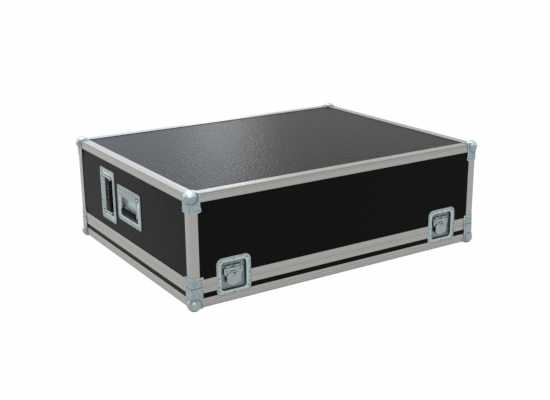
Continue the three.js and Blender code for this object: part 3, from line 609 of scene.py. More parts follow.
# Aluminium edging, posts and rim channels. A line is a groove: its place below the edge, width and depth
edging = dict(
    round=2.0, lip=0.6, innerLip=0.3, bend=1.0,
    faceFlange=25, capFlange=27, postFlange=25.5, trayFaceFlange=26.3,
    hoodRimHeight=21, trayRimHeight=18, rimInner=14, tongueWidth=4.4, tongueHeight=3.5, tongueTaper=0.5,
    rimOuterRound=0.8, rimInnerRound=0.6, webBend=0.5, tongueRound=0.4, postEnd=0.1,
    edgeLine=(3.1, 1.7, 0.55),  # beside the rounded edge
    faceLine=(8.6, 0.9, 0.3), capLine=(12.5, 1.0, 0.3), rimLine=(5.2, 0.9, 0.3),
    trayLines=((9.0, 1.0, 0.35), (17.0, 1.0, 0.35)), grooveFrom=0.2, grooveTo=1.0,
)


def notch(middle, width, depth):  # (place, depth) pairs across a groove in a face
    half, floor = width / 2, width / 4
    return [(middle - half, 0), (middle - floor, depth), (middle + floor, depth), (middle + half, 0)]


def inGroove(depth, along, end):  # whether a section's points lie in a groove of a face that is this long
    deep = (depth > edging["grooveFrom"]) & (depth < edging["grooveTo"])
    return deep & (along > edging["round"]) & (along < end - edging["bend"])


# L section with its outer corner at (0, 0) and height positive away from it
def angleSection(face, cap, outerLines, capLines):
    lip, innerLip, bend = edging["lip"], edging["innerLip"], edging["bend"]
    corners = [(0, face, lip)]
    for line in sorted(outerLines, reverse=True):
        corners += [(depth, along) for along, depth in notch(*line)[::-1]]
    corners += [(0, 0, edging["round"])]
    for line in sorted(capLines):
        corners += notch(*line)
    corners += [(cap, 0, lip), (cap, metal, innerLip), (metal, metal, bend), (metal, face, innerLip)]
    loop = outline(corners, 5)
    x, y = loop.T
    return loop, (inGroove(x, y, face) | inGroove(y, x, cap)).astype(float)


def caseCorner(x, y, height):  # a frame at one corner of the case, whose X and Y point inward
    return (x * case["halfWidth"], y * case["halfDepth"], height), [(-x, 0, 0), (0, -y, 0), (0, 0, 1)]


def makeEdging():
    face, cap, post = edging["faceFlange"], edging["capFlange"], edging["postFlange"]
    section, tone = angleSection(face, cap, [edging["edgeLine"], edging["faceLine"]], [edging["capLine"]])
    topAngle = roundTheCase(section * (1, -1) + (0, case["top"]), tone)
    section = angleSection(post, post, [], [])[0]
    foot, head = case["parting"] + edging["hoodRimHeight"] + gap, case["top"] - face - edging["postEnd"]
    angle = plate(section, foot, head, bevel=edging["postEnd"])
    posts = [angle.placed(*caseCorner(x, y, 0)) for x in bothSides for y in bothSides]
    madePiece("hoodEdging", together([topAngle] + posts), aluminium, "hood", "aluminium", ["hood_edging"])
    lines = [edging["edgeLine"], *edging["trayLines"]]
    section, tone = angleSection(edging["trayFaceFlange"], cap, lines, [])
    madeRound("trayEdging", section + (0, case["base"]), tone, "tray", "tray_edging")


# A rim channel: outer face, web over the ply, and either the groove or the tongue at the parting line
def rimSection(height, direction, tongue):
    middle = panelInset + case["ply"] / 2
    innerLip, inner, bend = edging["innerLip"], edging["rimInner"], edging["webBend"]
    reach, taper, soft = edging["tongueHeight"], edging["tongueTaper"], edging["tongueRound"]
    half = edging["tongueWidth"] / 2 + (0 if tongue else gap)
    web = metal if tongue else reach + metal
    rise = -reach if tongue else reach
    line = [(depth, along) for along, depth in notch(*edging["rimLine"])]
    loop = outline([
        (0, 0, edging["rimOuterRound"]), *line, (0, height, edging["lip"]), (metal, height, innerLip),
        (metal, web, bend), (channelInner, web, bend), (channelInner, inner, innerLip),
        (channelEnd, inner, innerLip), (channelEnd, 0, edging["rimInnerRound"]),
        (middle + half, 0, innerLip), (middle + half - taper, rise, soft),
        (middle - half + taper, rise, soft), (middle - half, 0, innerLip)], 4)
    tone = inGroove(*loop.T, height).astype(float)
    return loop * (1, direction) + (0, case["parting"] + (gap if direction > 0 else 0)), tone


# The drawn dishes of the latches and of the handles, each measured in its own frame
latchDish = dict(
    width=108, above=69.5, below=38, topRound=18, footRound=13,
    pocketWidth=78, pocketAbove=55, pocketBelow=26, pocketRound=9, depth=9.5, draft=1.5, sheet=1.2,
    lip=2.0, floorRound=2.2,
    rimInsets=(0, 0, 0.15, 0.5, 1.0), rimDepths=(-1.2, -0.75, -0.3, -0.06, 0),  # over the flange's edge
    # the rim's tones paint shade at the flange's outer edge and a highlight over its roll; the floor's tones
    # paint shade on the pocket's floor
    rimShadeAndHighlight=(0.3, -0.5, -0.8, -0.5, 0), floorShares=(0.9, 0.7, 0.4, 0.0), floorShade=(0.3, 0.25, 0.4, 0.4),
)
handleDish = dict(
    length=166, width=110, round=9, pocketLength=125, towardHinge=21, towardGrip=38, pocketRound=5,
    depth=16, draft=2, sheet=1.2, flange=1.5, lip=1.4, floorRound=2.5,
    hinge=36, axisDepth=2, pinReach=7, cradleHalf=5.0, hingeShine=0.8, cradleShade=0.7,
)
latchNames = ("fl", "fr", "rl", "rr")
handleNames = ("left_mid", "left_rear", "right_mid", "right_rear")


def latchFrame(name):  # where a latch's own X, Y (up the face) and Z (outward) lie
    low, high = boxOf(f"latch_{name}_upper_dish")
    front = low[1] < 0
    origin = ((low[0] + high[0]) / 2, low[1] if front else high[1], case["parting"])
    across = 1 if front else -1
    return origin, np.array([(across, 0, 0), (0, 0, 1), (0, -across, 0)], float)


def handleFrame(name):  # the same for a handle, whose own Y points to its hinge
    low, high = boxOf(f"handle_{name}_dish")
    left = low[0] < 0
    outward = -1 if left else 1
    origin = (low[0] if left else high[0], (low[1] + high[1]) / 2, (low[2] + high[2]) / 2)
    axes = np.array([(0, outward, 0), (0, 0, 1), (outward, 0, 0)], float)
    if high[2] - low[2] > high[1] - low[1]:  # an upright dish has its hinge toward the rear
        axes = np.array([(0, 0, -outward), (0, 1, 0), (outward, 0, 0)], float)
    return origin, axes


def latchFlangeLoop(grow=0.0, steps=10):
    half = latchDish["width"] / 2 + grow
    top, bottom = latchDish["above"] + grow, -latchDish["below"] - grow
    roundTop, roundFoot = latchDish["topRound"] + grow, latchDish["footRound"] + grow
    return outline([(half, top, roundTop), (-half, top, roundTop),
                    (-half, bottom, roundFoot), (half, bottom, roundFoot)], steps)


def latchPocketLoop(grow=0.0, steps=10):
    half = latchDish["pocketWidth"] / 2 + grow
    radius = max(latchDish["pocketRound"] + 0.6 * grow, 1.5)
    foot, top = -latchDish["pocketBelow"] - grow, latchDish["pocketAbove"] + grow
    return rectangle(-half, half, foot, top, radius, steps)


around, past = latchDish["sheet"] + gap, 3  # room round the dish, and how far the cut reaches out of the face
latchOpenings = [
    plate(latchFlangeLoop(gap, 6), -metal - gap, past, bevel=0),
    plate(latchPocketLoop(around, 6), -latchDish["depth"] - around, past, bevel=0),
]


def madeRound(name, section, tone, body, node):  # a section round the case, cut out for the four latches
    tools = [("DIFFERENCE", opening.placed(*latchFrame(latch)))
             for latch in latchNames for opening in latchOpenings]
    madePiece(name, carved(roundTheCase(section, tone), tools), aluminium, body, "aluminium", [node])


makeEdging()
madeRound("hoodRim", *rimSection(edging["hoodRimHeight"] - gap, 1, False), "hood", "hood_rim")
madeRound("trayRim", *rimSection(edging["trayRimHeight"], -1, True), "tray", "tray_rim")
print("edging, posts and rims made")

# Pressed ball corners: three patches of a shell round a corner, each a grid of directions (1, a, b)
# from the ball's centre, drawn out to the plates' plane or to the ball, whichever is further. The
# plane's edges bend over by a power mean, and the square end of each patch is pressed into a round one
ballCorner = dict(
    radius=20, proud=9.5, sheet=1.5, seat=0.3, reach=33, topLeg=53, baseLeg=59, bendPower=9, blend=0.9,
    cornerRound=4.5, tab=2.0, tabHeight=13, tabSetback=1.5, tabEase=2.2, rivetSetback=2.6,
    gridStep=1.1, ballSteps=15, tabBlend=0.9, rimShine=0.5, rimShineWidth=(0.8, 2.4),
    creaseShade=0.55, creaseAt=0.1, creaseWidth=1.4, contactShade=1.2, contactShadeFrom=8.5, contactShadeTo=6,
    gapShade=0.9, gapShadeFrom=0.5, gapShadeTo=1.7, crownHeight=(0.2, 0.55), crownRise=(0.2, 1.5),
)


def rimHighlight(edge):  # a painted highlight over the last millimetres before a pressed edge
    return -ballCorner["rimShine"] * (1 - easeIn(edge, *ballCorner["rimShineWidth"]))


def ballCornerSkin(leg, stands):
    look = ballCorner
    inside = look["radius"] - look["proud"]  # of the ball's centre inside each face
    plane = inside + look["seat"] + look["sheet"]
    ease, radius = look["tabEase"], look["cornerRound"] / plane
    tabTop, tabFoot = leg - look["tabSetback"] - look["tabHeight"], leg - look["tabSetback"]
    shortEnd, longEnd = look["reach"] - inside, leg - inside

    def gridLine(end, stops):  # places from the end past each stop to the ball's middle, then out to its edge
        ends = sorted({0.0, *stops, end})
        inward = [np.linspace(a, b, max(3, int((b - a) / look["gridStep"])), endpoint=False)
                  for a, b in zip(ends, ends[1:])]
        flat = np.append(np.concatenate(inward), end)[::-1] / plane
        return np.concatenate([-flat, np.linspace(0, 1, look["ballSteps"])[1:]])

    short = gridLine(shortEnd, [shortEnd - look["cornerRound"]])
    long = gridLine(longEnd, [stop - inside for stop in (tabTop, tabTop + ease, tabFoot - ease, tabFoot)])
    patches = []
    for axis in range(3):
        a, b = np.meshgrid(short, short if axis == 2 else long, indexing="ij")
        edgeA, edgeB = shortEnd / plane, (shortEnd if axis == 2 else longEnd) / plane
        u = np.clip(-a - (edgeA - radius), 0, None) / radius
        v = np.clip(-b - (edgeB - radius), 0, None) / radius
        roundA, roundB = u * np.sqrt(1 - v * v / 2) * radius, v * np.sqrt(1 - u * u / 2) * radius
        placeA = np.where(u > 0, -(edgeA - radius) - roundA, a)
        placeB = np.where(v > 0, -(edgeB - radius) - roundB, b)
        if axis < 2:  # the rivet tab at the end of a leg
            below = -placeB * plane + inside
            tab = easeIn(below, tabTop - ease * 0.5, tabTop + ease)
            tab = tab * (1 - easeIn(below, tabFoot - ease, tabFoot + ease * 0.4))
            placeA = placeA - tab * look["tab"] / plane * easeIn(-placeA, edgeA - look["tabBlend"], edgeA)
        power = look["bendPower"]
        pastA, pastB = np.clip(placeA, 0, None), np.clip(placeB, 0, None)
        box = plane / (1 + pastA ** power + pastB ** power) ** (1 / power)
        ball = look["radius"] / np.sqrt(1 + placeA ** 2 + placeB ** 2)
        reach = look["blend"] * np.logaddexp(box / look["blend"], ball / look["blend"])
        ones = np.ones_like(a)
        direction = ((ones, placeA, placeB), (placeA, ones, placeB), (placeA, placeB, ones))[axis]
        points = reach[..., None] * np.stack(direction, -1)
        # painted shade along the crease where the ball meets the plates
        creaseShade = np.exp(-((ball - box - look["creaseAt"]) / look["creaseWidth"]) ** 2)
        edge = np.minimum(placeA + edgeA, placeB + edgeB) * plane
        tone = look["creaseShade"] * creaseShade + rimHighlight(edge)
        outward = points[..., 2]
        if stands:  # painted contact shadow underneath, and painted shade in the gap to the brace above
            contactShade = easeIn(outward, look["radius"] - look["contactShadeFrom"], look["radius"] - look["contactShadeTo"])
            # painted shade in the gap below the brace
            gapShade = 1 - easeIn(outward + leg - inside, look["gapShadeFrom"], look["gapShadeTo"])
            tone = np.maximum(np.maximum(tone, look["contactShade"] * contactShade), look["gapShade"] * gapShade)
        else:  # a painted highlight over the crown
            crown = easeIn(outward / look["radius"], *look["crownHeight"])
            tone = tone - crown * easeIn(ball - box, *look["crownRise"])
        patch = gridSkin(points, tone=tone)
        patches.append(patch if axis == 1 else patch.turnedOver())
    return together(patches)


# Bent plate of a corner brace: a path of two legs and the bend between them, drawn up the post. The legs
# reach further by the tab's width times a smooth step, wherever a rivet tab lies
brace = dict(
    height=29, tabHeight=13, tabDepth=9, tabClose=0.75, bend=5, footHeights=(0, 0.8, 1.8),
    # footShade paints shade at the brace's foot, by the gap to the tray's corner
    footShade=0.8, footShadeHeights=(0.3, 1.6),
    rivets=((23, 28.8), (11, 28.8), (13.7, 9.5)),  # height, and distance from the corner
)


def braceSkin():
    look, shared = brace, ballCorner
    front = shared["seat"] + shared["sheet"]
    reach, radius, ease = shared["reach"], look["bend"], shared["tabEase"]
    straight = np.linspace(reach, radius - front, 18)[:, None]
    turn = np.linspace(0, math.pi / 2, 9)[1:-1, None]
    legX = np.hstack([straight, np.full_like(straight, -front)])
    bend = np.hstack([radius - front - radius * np.sin(turn), radius - front - radius * np.cos(turn)])
    path = np.vstack([legX, bend, legX[::-1, ::-1]])
    lower, upper = look["height"] - look["tabHeight"], look["height"]
    *foot, start = look["footHeights"]
    plain, tabbed = np.linspace(start, lower - ease, 8), np.linspace(lower - ease, upper, 18)[1:]
    heights = np.concatenate([foot, plain, tabbed])
    tab = easeIn(heights, lower - ease, lower + ease)
    tab = tab * (1 - easeIn(heights, upper - ease, upper + 0.6) * look["tabClose"])
    pushed = tab[:, None] * shared["tab"]
    x, y = (np.tile(along, (len(heights), 1)) for along in path.T)
    x, y = (along + pushed * easeIn(along, reach - look["tabDepth"], reach) for along in (x, y))
    z = np.broadcast_to(heights[:, None], x.shape)
    edge = np.minimum(reach - np.maximum(x, y), upper - z)
    tone = look["footShade"] * (1 - easeIn(z, *look["footShadeHeights"])) + rimHighlight(edge)
    return gridSkin(np.stack([x, y, z], -1), tone=tone).turnedOver()


# Domed rivet head with the dimple of its broken stem. Its tones paint shade round its foot and in the dimple,
# and a highlight on the dome
rivet = dict(radius=3.1, rise=1.1, dimple=1.6, sides=14, tones=(0.5, 0.5, 0.3, -0.2, 0, 1.1, 1.2, 1.2))


def rivetSkin(scale=1.0):
    radius, rise, dimple = (rivet[size] * scale for size in ("radius", "rise", "dimple"))
    profile = [(0, -0.3), (radius, -0.3), (radius, 0.15), (radius * 0.8, rise * 0.7), (dimple * 1.3, rise),
               (dimple, rise * 0.8), (dimple * 0.8, rise * 0.25), (0, rise * 0.2)]
    return turned(profile, rivet["sides"], tone=rivet["tones"])


rivetPlaces = {"hood": [], "tray": []}  # rivets gathered by the body that they ride on


def addRivet(body, origin, axes, x, y, rise=0.0, scale=1.0):
    rivetPlaces[body].append(rivetSkin(scale).placed((x, y, rise)).placed(origin, axes))


def makeCorners():
    look = ballCorner
    inside = look["radius"] - look["proud"]
    plateFront = look["seat"] + look["sheet"]
    topSkin, baseSkin = ballCornerSkin(look["topLeg"], False), ballCornerSkin(look["baseLeg"], True)
    bent = braceSkin()
    fromEdge, tabMiddle = look["reach"] - look["rivetSetback"], look["tabSetback"] + look["tabHeight"] / 2
    finish = dict(material=cornerZinc, slot="corner", sharp=50, sheet=look["sheet"])
    for name, x, y in (("fl", -1, -1), ("fr", 1, -1), ("rl", -1, 1), ("rr", 1, 1)):
        at = np.array([x * (case["halfWidth"] - inside), y * (case["halfDepth"] - inside)])
        for label, skin, z, height, body in (
                ("hood_ball_corner", topSkin, 1, case["top"] - inside, "hood"),
                ("tray_ball_corner", baseSkin, -1, case["base"] + inside, "tray")):
            placed = skin.placed((*at, height), [(x, 0, 0), (0, y, 0), (0, 0, z)])
            madePiece(f"{label}_{name}_shell", placed, body=body, stands=[f"{label}_{name}"], **finish)
        placed = bent.placed(*caseCorner(x, y, case["parting"] + gap))
        label = f"hood_corner_brace_{name}"
        madePiece(label + "_plate", placed, body="hood", stands=[label], **finish)
        rows = [("hood", case["top"] - look["topLeg"] + tabMiddle, fromEdge),
                ("tray", case["base"] + look["baseLeg"] - tabMiddle, fromEdge)]
        rows += [("hood", case["parting"] + gap + up, inward) for up, inward in brace["rivets"]]
        for body, height, inward in rows:
            onX = (x * (case["halfWidth"] + plateFront), y * (case["halfDepth"] - inward), height)
            onY = (x * (case["halfWidth"] - inward), y * (case["halfDepth"] + plateFront), height)
            addRivet(body, onX, [(0, x, 0), (0, 0, 1), (x, 0, 0)], 0, 0)
            addRivet(body, onY, [(-y, 0, 0), (0, 0, 1), (0, y, 0)], 0, 0)


makeCorners()
print("ball corners and braces made")


# Growth and depth of a drawn pocket from its floor to the face: a round into the floor, a drafted
# wall and a lip that rolls over
def pocketProfile(look, steps=5):
    turn = np.linspace(0, math.pi / 2, steps + 1)
    draft, depth, floorRound, lip = look["draft"], look["depth"], look["floorRound"], look["lip"]
    floor = np.stack([-draft - floorRound * (1 - np.sin(turn)), -depth + floorRound * (1 - np.cos(turn))], -1)
    edge = np.stack([lip * (1 - np.cos(turn)), -lip * (1 - np.sin(turn))], -1)
    return np.vstack([floor, edge])


# Painted shade down a pocket's walls and round its floor, and a painted highlight on its lip, for each of
# those steps
pocketShadeAndHighlight = np.array([0.35, 0.45, 0.55, 0.65, 0.75, 0.8, 0.75, 0.55, 0.3, -0.1, -0.8, -1.0])

# Latch: two halves of a drawn dish, a hinge rod with its lugs, a keeper and the butterfly mechanism
latch = dict(
    rodHeight=40, rodRadius=1.8, rodLength=50, lugThickness=2.6, lugHeight=8, lugRound=3.2,
    knuckleRadius=3.2, knuckleInner=8, knuckleOuter=20,
    linkSheet=1.4, linkWidth=51, neckWidth=26, linkFoot=3, linkShoulder=4.4, linkRound=2.2,
    studSpacing=44, studHeight=24.5, studRadius=2.2, studProud=0.8, studHead=0.9,
    hookSheet=1.5, hookWidth=58, hookTop=35.5, tailWidth=25, tailBelow=15.5, earRound=5, tailRound=8,
    lipDrop=2, lipWidth=18, hubHeight=12, hubRadius=14, shaftRadius=6, hubSheet=1.3, rivetRadius=3,
    camOffset=3, camPin=2.5, camPlay=0.66,
    wingSheet=1.5, wingWidth=44, wingBelow=22, wingAbove=9, wingHinge=13, wingKnuckle=0.95,
    wingKnuckleLength=8.8, earWidth=2.2, wingRound=10, slotRadius=8, slotWidth=2,
    keeperRise=2.5, keeperThickness=2.4, keeperWidth=24, keeperSunk=0.4, keeperToe=1.2,
    keeperBends=(1.0, 0.6, 0.5), wire=0.55, coils=7, coilRadius=2.7, coilSetback=1.4,
    legBend=(4, 2.2), floorLegEnd=(9, 0.9), linkLegEnd=(5.2, 1.2),  # of the spring: up or down, and outward
    floorRivet=(-32.8, 24),
)
rodHeight, studHeight, hubHeight = latch["rodHeight"], latch["studHeight"], latch["hubHeight"]
pinHeight, wingAxis = hubHeight - latch["camOffset"], hubHeight + latch["wingHinge"]
pocketFloor = -latchDish["depth"]
keeperFront = pocketFloor + latch["keeperRise"]
hookBack = keeperFront + gap + latch["lipDrop"]
hookFront = hookBack + latch["hookSheet"]
linkFront = hookBack - gap
linkBack = linkFront - latch["linkSheet"]
rodDepth = (linkFront + linkBack) / 2
hubBack = hookFront + gap
hubFront = hubBack + latch["hubSheet"]
wingBack = hubFront + gap
wingFront = wingBack + latch["wingSheet"]


# The drawn sheet on one side of the parting line: loops of the flange and the pocket, each at its
# depth, cut off at the line, then shares of the last one in to the middle of the floor
def dishHalf(upper):
    look = latchDish
    profile = pocketProfile(look)[::-1]
    rows = [(latchFlangeLoop(-inset), depth) for inset, depth in zip(look["rimInsets"], look["rimDepths"])]
    rows += [(latchPocketLoop(grow), depth) for grow, depth in profile]
    height = gap if upper else 0.0
    rings = []
    for loop, depth in rows:
        half = loop[loop[:, 1] > 0] if upper else loop[loop[:, 1] < 0]
        side = half[0, 0]
        rings.append(atDepth(np.vstack([(side, height), half, (-side, height)]), depth))
    middle = np.array([(0, height, rings[-1][0, 2])])
    grid = np.stack(rings + [middle + (rings[-1] - middle) * share for share in look["floorShares"]])
    tone = np.concatenate([look["rimShadeAndHighlight"], pocketShadeAndHighlight[::-1], look["floorShade"]])
    return gridSkin(grid, tone=np.repeat(tone, grid.shape[1]))


def knuckle(radius, bore, start, end):  # a sleeve on the hinge rod
    ring = turned([(bore, start), (radius - 0.3, start), (radius, start + 0.3), (radius, end - 0.3),
                   (radius - 0.3, end), (bore, end)], 20, closed=True)
    return ring.placed((0, rodHeight, rodDepth), lyingAlongX)


def rodSkin():  # the hinge rod and the two lugs that hold it
    look, half, wide = latch, latch["rodLength"] / 2, latch["lugHeight"] / 2
    rod = roundBar(look["rodRadius"], -half, half).placed((0, rodHeight, rodDepth), lyingAlongX)
    back, front, bend = pocketFloor - 0.5, rodDepth + look["rodRadius"] * 2, look["lugRound"]
    lug = outline([(rodHeight + wide, back), (rodHeight + wide, front, bend),
                   (rodHeight - wide, front, bend), (rodHeight - wide, back)])
    return together([rod] + [plateAlongX(lug, s * half, s * (half - look["lugThickness"])) for s in (1, -1)])


def linkSkin():  # the tilting plate with its knuckles, the cam's cross slot and the guide studs
    look, bend = latch, latch["linkRound"]
    half, neck = look["linkWidth"] / 2, look["neckWidth"] / 2
    shoulder, waist = studHeight + look["linkShoulder"], studHeight - look["linkShoulder"]
    inner, outer, radius = look["knuckleInner"], look["knuckleOuter"], look["knuckleRadius"]
    right = [(inner, rodHeight - 2 * radius, 0.5), (inner, rodHeight), (outer, rodHeight),
             (outer, shoulder + radius, 1.0), (half, shoulder, bend), (half, waist, bend),
             (neck, waist - neck / 2, bend), (neck, look["linkFoot"], bend)]
    around = look["camPin"] + gap
    wide, tall = look["camOffset"] + around, look["camPlay"] + around
    camSlot = rectangle(-wide, wide, pinHeight - tall, pinHeight + tall, around)
    knuckles = [knuckle(radius, look["rodRadius"] + gap, *sorted((s * inner, s * outer))) for s in bothSides]
    shank, head = look["studRadius"], look["studRadius"] + look["studHead"]
    under, rim, top = hookFront + 0.06, hookFront + 0.3, hookFront + look["studProud"]
    stud = turned([(0, linkBack), (shank, linkBack), (shank, under), (head, under), (head, rim),
                   (shank * 0.7, top), (0, top)], 20)
    studs = [stud.placed((s * look["studSpacing"] / 2, studHeight, 0)) for s in bothSides]
    return together([plate(outline(mirrored(right)), linkBack, linkFront, [camSlot])] + knuckles + studs)


def hookSkin():  # the plate that slides on the studs, with the lip that catches the keeper
    look, foot = latch, -latch["tailBelow"]
    tail, ear, around = look["tailWidth"] / 2, look["hookWidth"] / 2, look["studRadius"] + gap
    right = [(tail, foot, look["tailRound"]), (tail, hubHeight - look["hubRadius"], look["hubRadius"]),
             (ear, studHeight - 2 * look["studRadius"], look["earRound"]),
             (ear, look["hookTop"], look["earRound"])]
    low, high = studHeight - around, studHeight + 2 * look["camOffset"] + around
    guides = [rectangle(x - around, x + around, low, high, around)
              for x in (-look["studSpacing"] / 2, look["studSpacing"] / 2)]
    bore = circle(0, hubHeight, look["shaftRadius"] + gap, 32)
    # the hook's edges get a painted highlight
    edges = dict(bevel=0.45, rolls=3, edgeHighlight=0.5)
    hook = plate(outline(mirrored(right), 9), hookBack, hookFront, guides + [bore], **edges)
    lip = rectangle(foot, look["hookSheet"] + foot, hookBack - look["lipDrop"], hookFront - 0.5, 0.5)
    return hook + plateAlongX(lip, -look["lipWidth"] / 2, look["lipWidth"] / 2)


def hubSkin():  # the round cam with its shaft, its eccentric pin, a rivet's dome and the wing's two ears
    look, head = latch, latch["rivetRadius"]
    disc = plate(circle(0, hubHeight, look["hubRadius"], 48), hubBack, hubFront, bevel=0.35, rolls=2)
    shaft = roundBar(look["shaftRadius"], hookBack, hubBack + 0.3, dome=0.2, sides=32)
    pin = roundBar(look["camPin"], linkBack + gap, hookBack + 0.5, dome=0.3, sides=20)
    cap = turned([(0, hubBack), (head, hubBack), (head, wingBack + 0.3), (head * 0.86, wingFront - 0.45),
                  (head * 0.5, wingFront), (0, wingFront + 0.1)], 24)
    inner, half = look["wingKnuckleLength"] / 2 + gap, look["wingKnuckle"] + look["wingSheet"] / 2
    ear = rectangle(wingAxis - half, wingAxis + half, hubBack, wingFront + look["wingSheet"] / 2, 0.74, 4)
    ears = [plateAlongX(ear, s * inner, s * (inner + look["earWidth"])) for s in bothSides]
    middle, offset = (0, hubHeight, 0), (0, pinHeight, 0)
    return together([disc, shaft.placed(middle), pin.placed(offset), cap.placed(middle)] + ears)


def wingSkin():  # the folding wing with its curved slot, and the knuckle that it folds on
    look, tabHalf = latch, latch["wingKnuckleLength"] / 2
    turn = np.linspace(0, math.pi / 2, 15)
    outer, inner = look["slotRadius"] + look["slotWidth"] / 2, look["slotRadius"] - look["slotWidth"] / 2
    slot = [np.stack([radius * np.cos(way), hubHeight + radius * np.sin(way)], -1)
            for radius, way in ((outer, turn), (inner, turn[::-1]))]
    top = hubHeight + look["wingAbove"]
    loop = rectangle(-look["wingWidth"] / 2, look["wingWidth"] / 2, hubHeight - look["wingBelow"], top,
                     look["wingRound"], 10)
    holes = [circle(0, hubHeight, look["rivetRadius"] + 0.6, 28), np.vstack(slot)]
    # the wing's edges get a painted highlight
    wing = plate(loop, wingBack, wingFront, holes, bevel=0.5, rolls=3, edgeHighlight=0.6)
    tab = plate(rectangle(-tabHalf, tabHalf, top - look["wingSheet"], wingAxis, 0.2, 2), wingBack, wingFront)
    roll = roundBar(look["wingKnuckle"], -tabHalf, tabHalf, dome=0.2)
    return together([wing, tab, roll.placed((0, wingAxis, wingBack + look["wingKnuckle"]), lyingAlongX)])


def keeperSkin():  # the strip that the hook's lip catches, bent down to the pocket's floor
    look, top = latch, latch["keeperThickness"] - latch["tailBelow"] + latch["hookSheet"] + gap
    foot, bent = top - look["keeperThickness"], top + look["keeperRise"]
    sunk, (footBend, topBend, edgeBend) = pocketFloor - look["keeperSunk"], look["keeperBends"]
    strip = outline([(bent + look["keeperToe"], sunk), (bent, pocketFloor + 0.2, footBend),
                     (top, keeperFront, topBend), (foot, keeperFront, edgeBend), (foot, sunk)], 4)
    return plateAlongX(strip, -look["keeperWidth"] / 2, look["keeperWidth"] / 2)


# Torsion spring: turns of wire round the rod, with one leg on the pocket's floor and one on the link
def springSkin():
    look, radius = latch, latch["coilRadius"]
    steps = np.linspace(0, 1, look["coils"] * 20)
    turn = steps * look["coils"] * 2 * math.pi + math.pi / 2
    along = (steps - 0.5) * 2 * (look["knuckleInner"] - look["coilSetback"])
    coil = np.stack([along, rodHeight + radius * np.cos(turn), rodDepth + radius * np.sin(turn)], -1)
    (bendUp, bendOut), (floorUp, floorOut) = look["legBend"], look["floorLegEnd"]
    linkDown, linkOut = look["linkLegEnd"]
    floorLeg = [(along[0], rodHeight + floorUp, pocketFloor + floorOut),
                (along[0], rodHeight + bendUp, rodDepth + bendOut)]
    linkLeg = [(along[-1], rodHeight - bendUp, rodDepth + bendOut),
               (along[-1], rodHeight - linkDown, rodDepth + linkOut)]
    return tube(np.vstack([floorLeg, coil, linkLeg]), look["wire"], sides=8, reference=(1, 0, 0))


latchRivets = dict(hood=[(-41.5, 60.5), (41.5, 60.5), (0, 63.5), (-47.5, 13), (47.5, 13)],
                   tray=[(-47.5, -10.5), (47.5, -10.5), (-46, -24), (46, -24), (0, -33)])


def makeLatches():
    sheets = (("upper", dishHalf(True), "hood"), ("lower", dishHalf(False), "tray"))
    fixed = (("hinge_rod", rodSkin(), mechanismZinc, "hood", 32),
             ("spring", springSkin(), rivetSteel, "hood", 60),
             ("keeper", keeperSkin(), mechanismZinc, "tray", 32))
    moving = dict(link=linkSkin(), hook=hookSkin(), hub=hubSkin(), wing=wingSkin())
    for name in latchNames:
        at, node = latchFrame(name), f"latch_{name}"
        for label, skin, body in sheets:
            half = f"{node}_{label}"
            madePiece(half + "_sheet", skin.placed(*at), dishZinc, body, "dish", [half + "_dish"],
                      sheet=latchDish["sheet"])
        for label, skin, material, body, sharp in fixed:
            madePiece(f"{node}_{label}", skin.placed(*at), material, body, "mechanism", sharp=sharp)
        for label, skin in moving.items():
            part = f"{node}_{label}"
            madePiece(part + "_detail", skin.placed(*at), mechanismZinc, part, "mechanism", [part])
        for body, places in latchRivets.items():
            for x, y in places:
                addRivet(body, *at, x, y)
        addRivet("hood", *at, *latch["floorRivet"], pocketFloor, 1.15)


makeLatches()
print("latches made")

# Bail handles
bail = dict(radius=3.75, legSpacing=114, gripReach=57, hingeBend=5, gripBend=6, gripWidth=15,
            gripThickness=14, gripPlay=0.45, gripSquare=2.5)  # 2 is an ellipse, and more is squarer
handleRivets = [(x, y) for x in (-76, 76) for y in (-48, 0, 48)]
handleRivets += [(x, y) for x in (-26, 26) for y in (-48, 48)]
pocketPaintedLight = (1.5, 1.3, 1.0, 0.8, 0.7, 0.7, 0.6, 0.4, 0.2, 0, 0, 0)  # painted light inside a handle's wide pocket, taken off the pocket's painted shade


def handlePocketLoop(grow=0.0):
    look = handleDish
    half, radius = look["pocketLength"] / 2 + grow, max(look["pocketRound"] + 0.6 * grow, 1.2)
    return rectangle(-half, half, -look["towardGrip"] - grow, look["towardHinge"] + grow, radius, 8)


def handlePocket(rows, tone=None):  # the pocket's loop, grown and set at the depth that each row gives
    return closedLoft([atDepth(handlePocketLoop(grow), depth) for grow, depth in rows], tone)


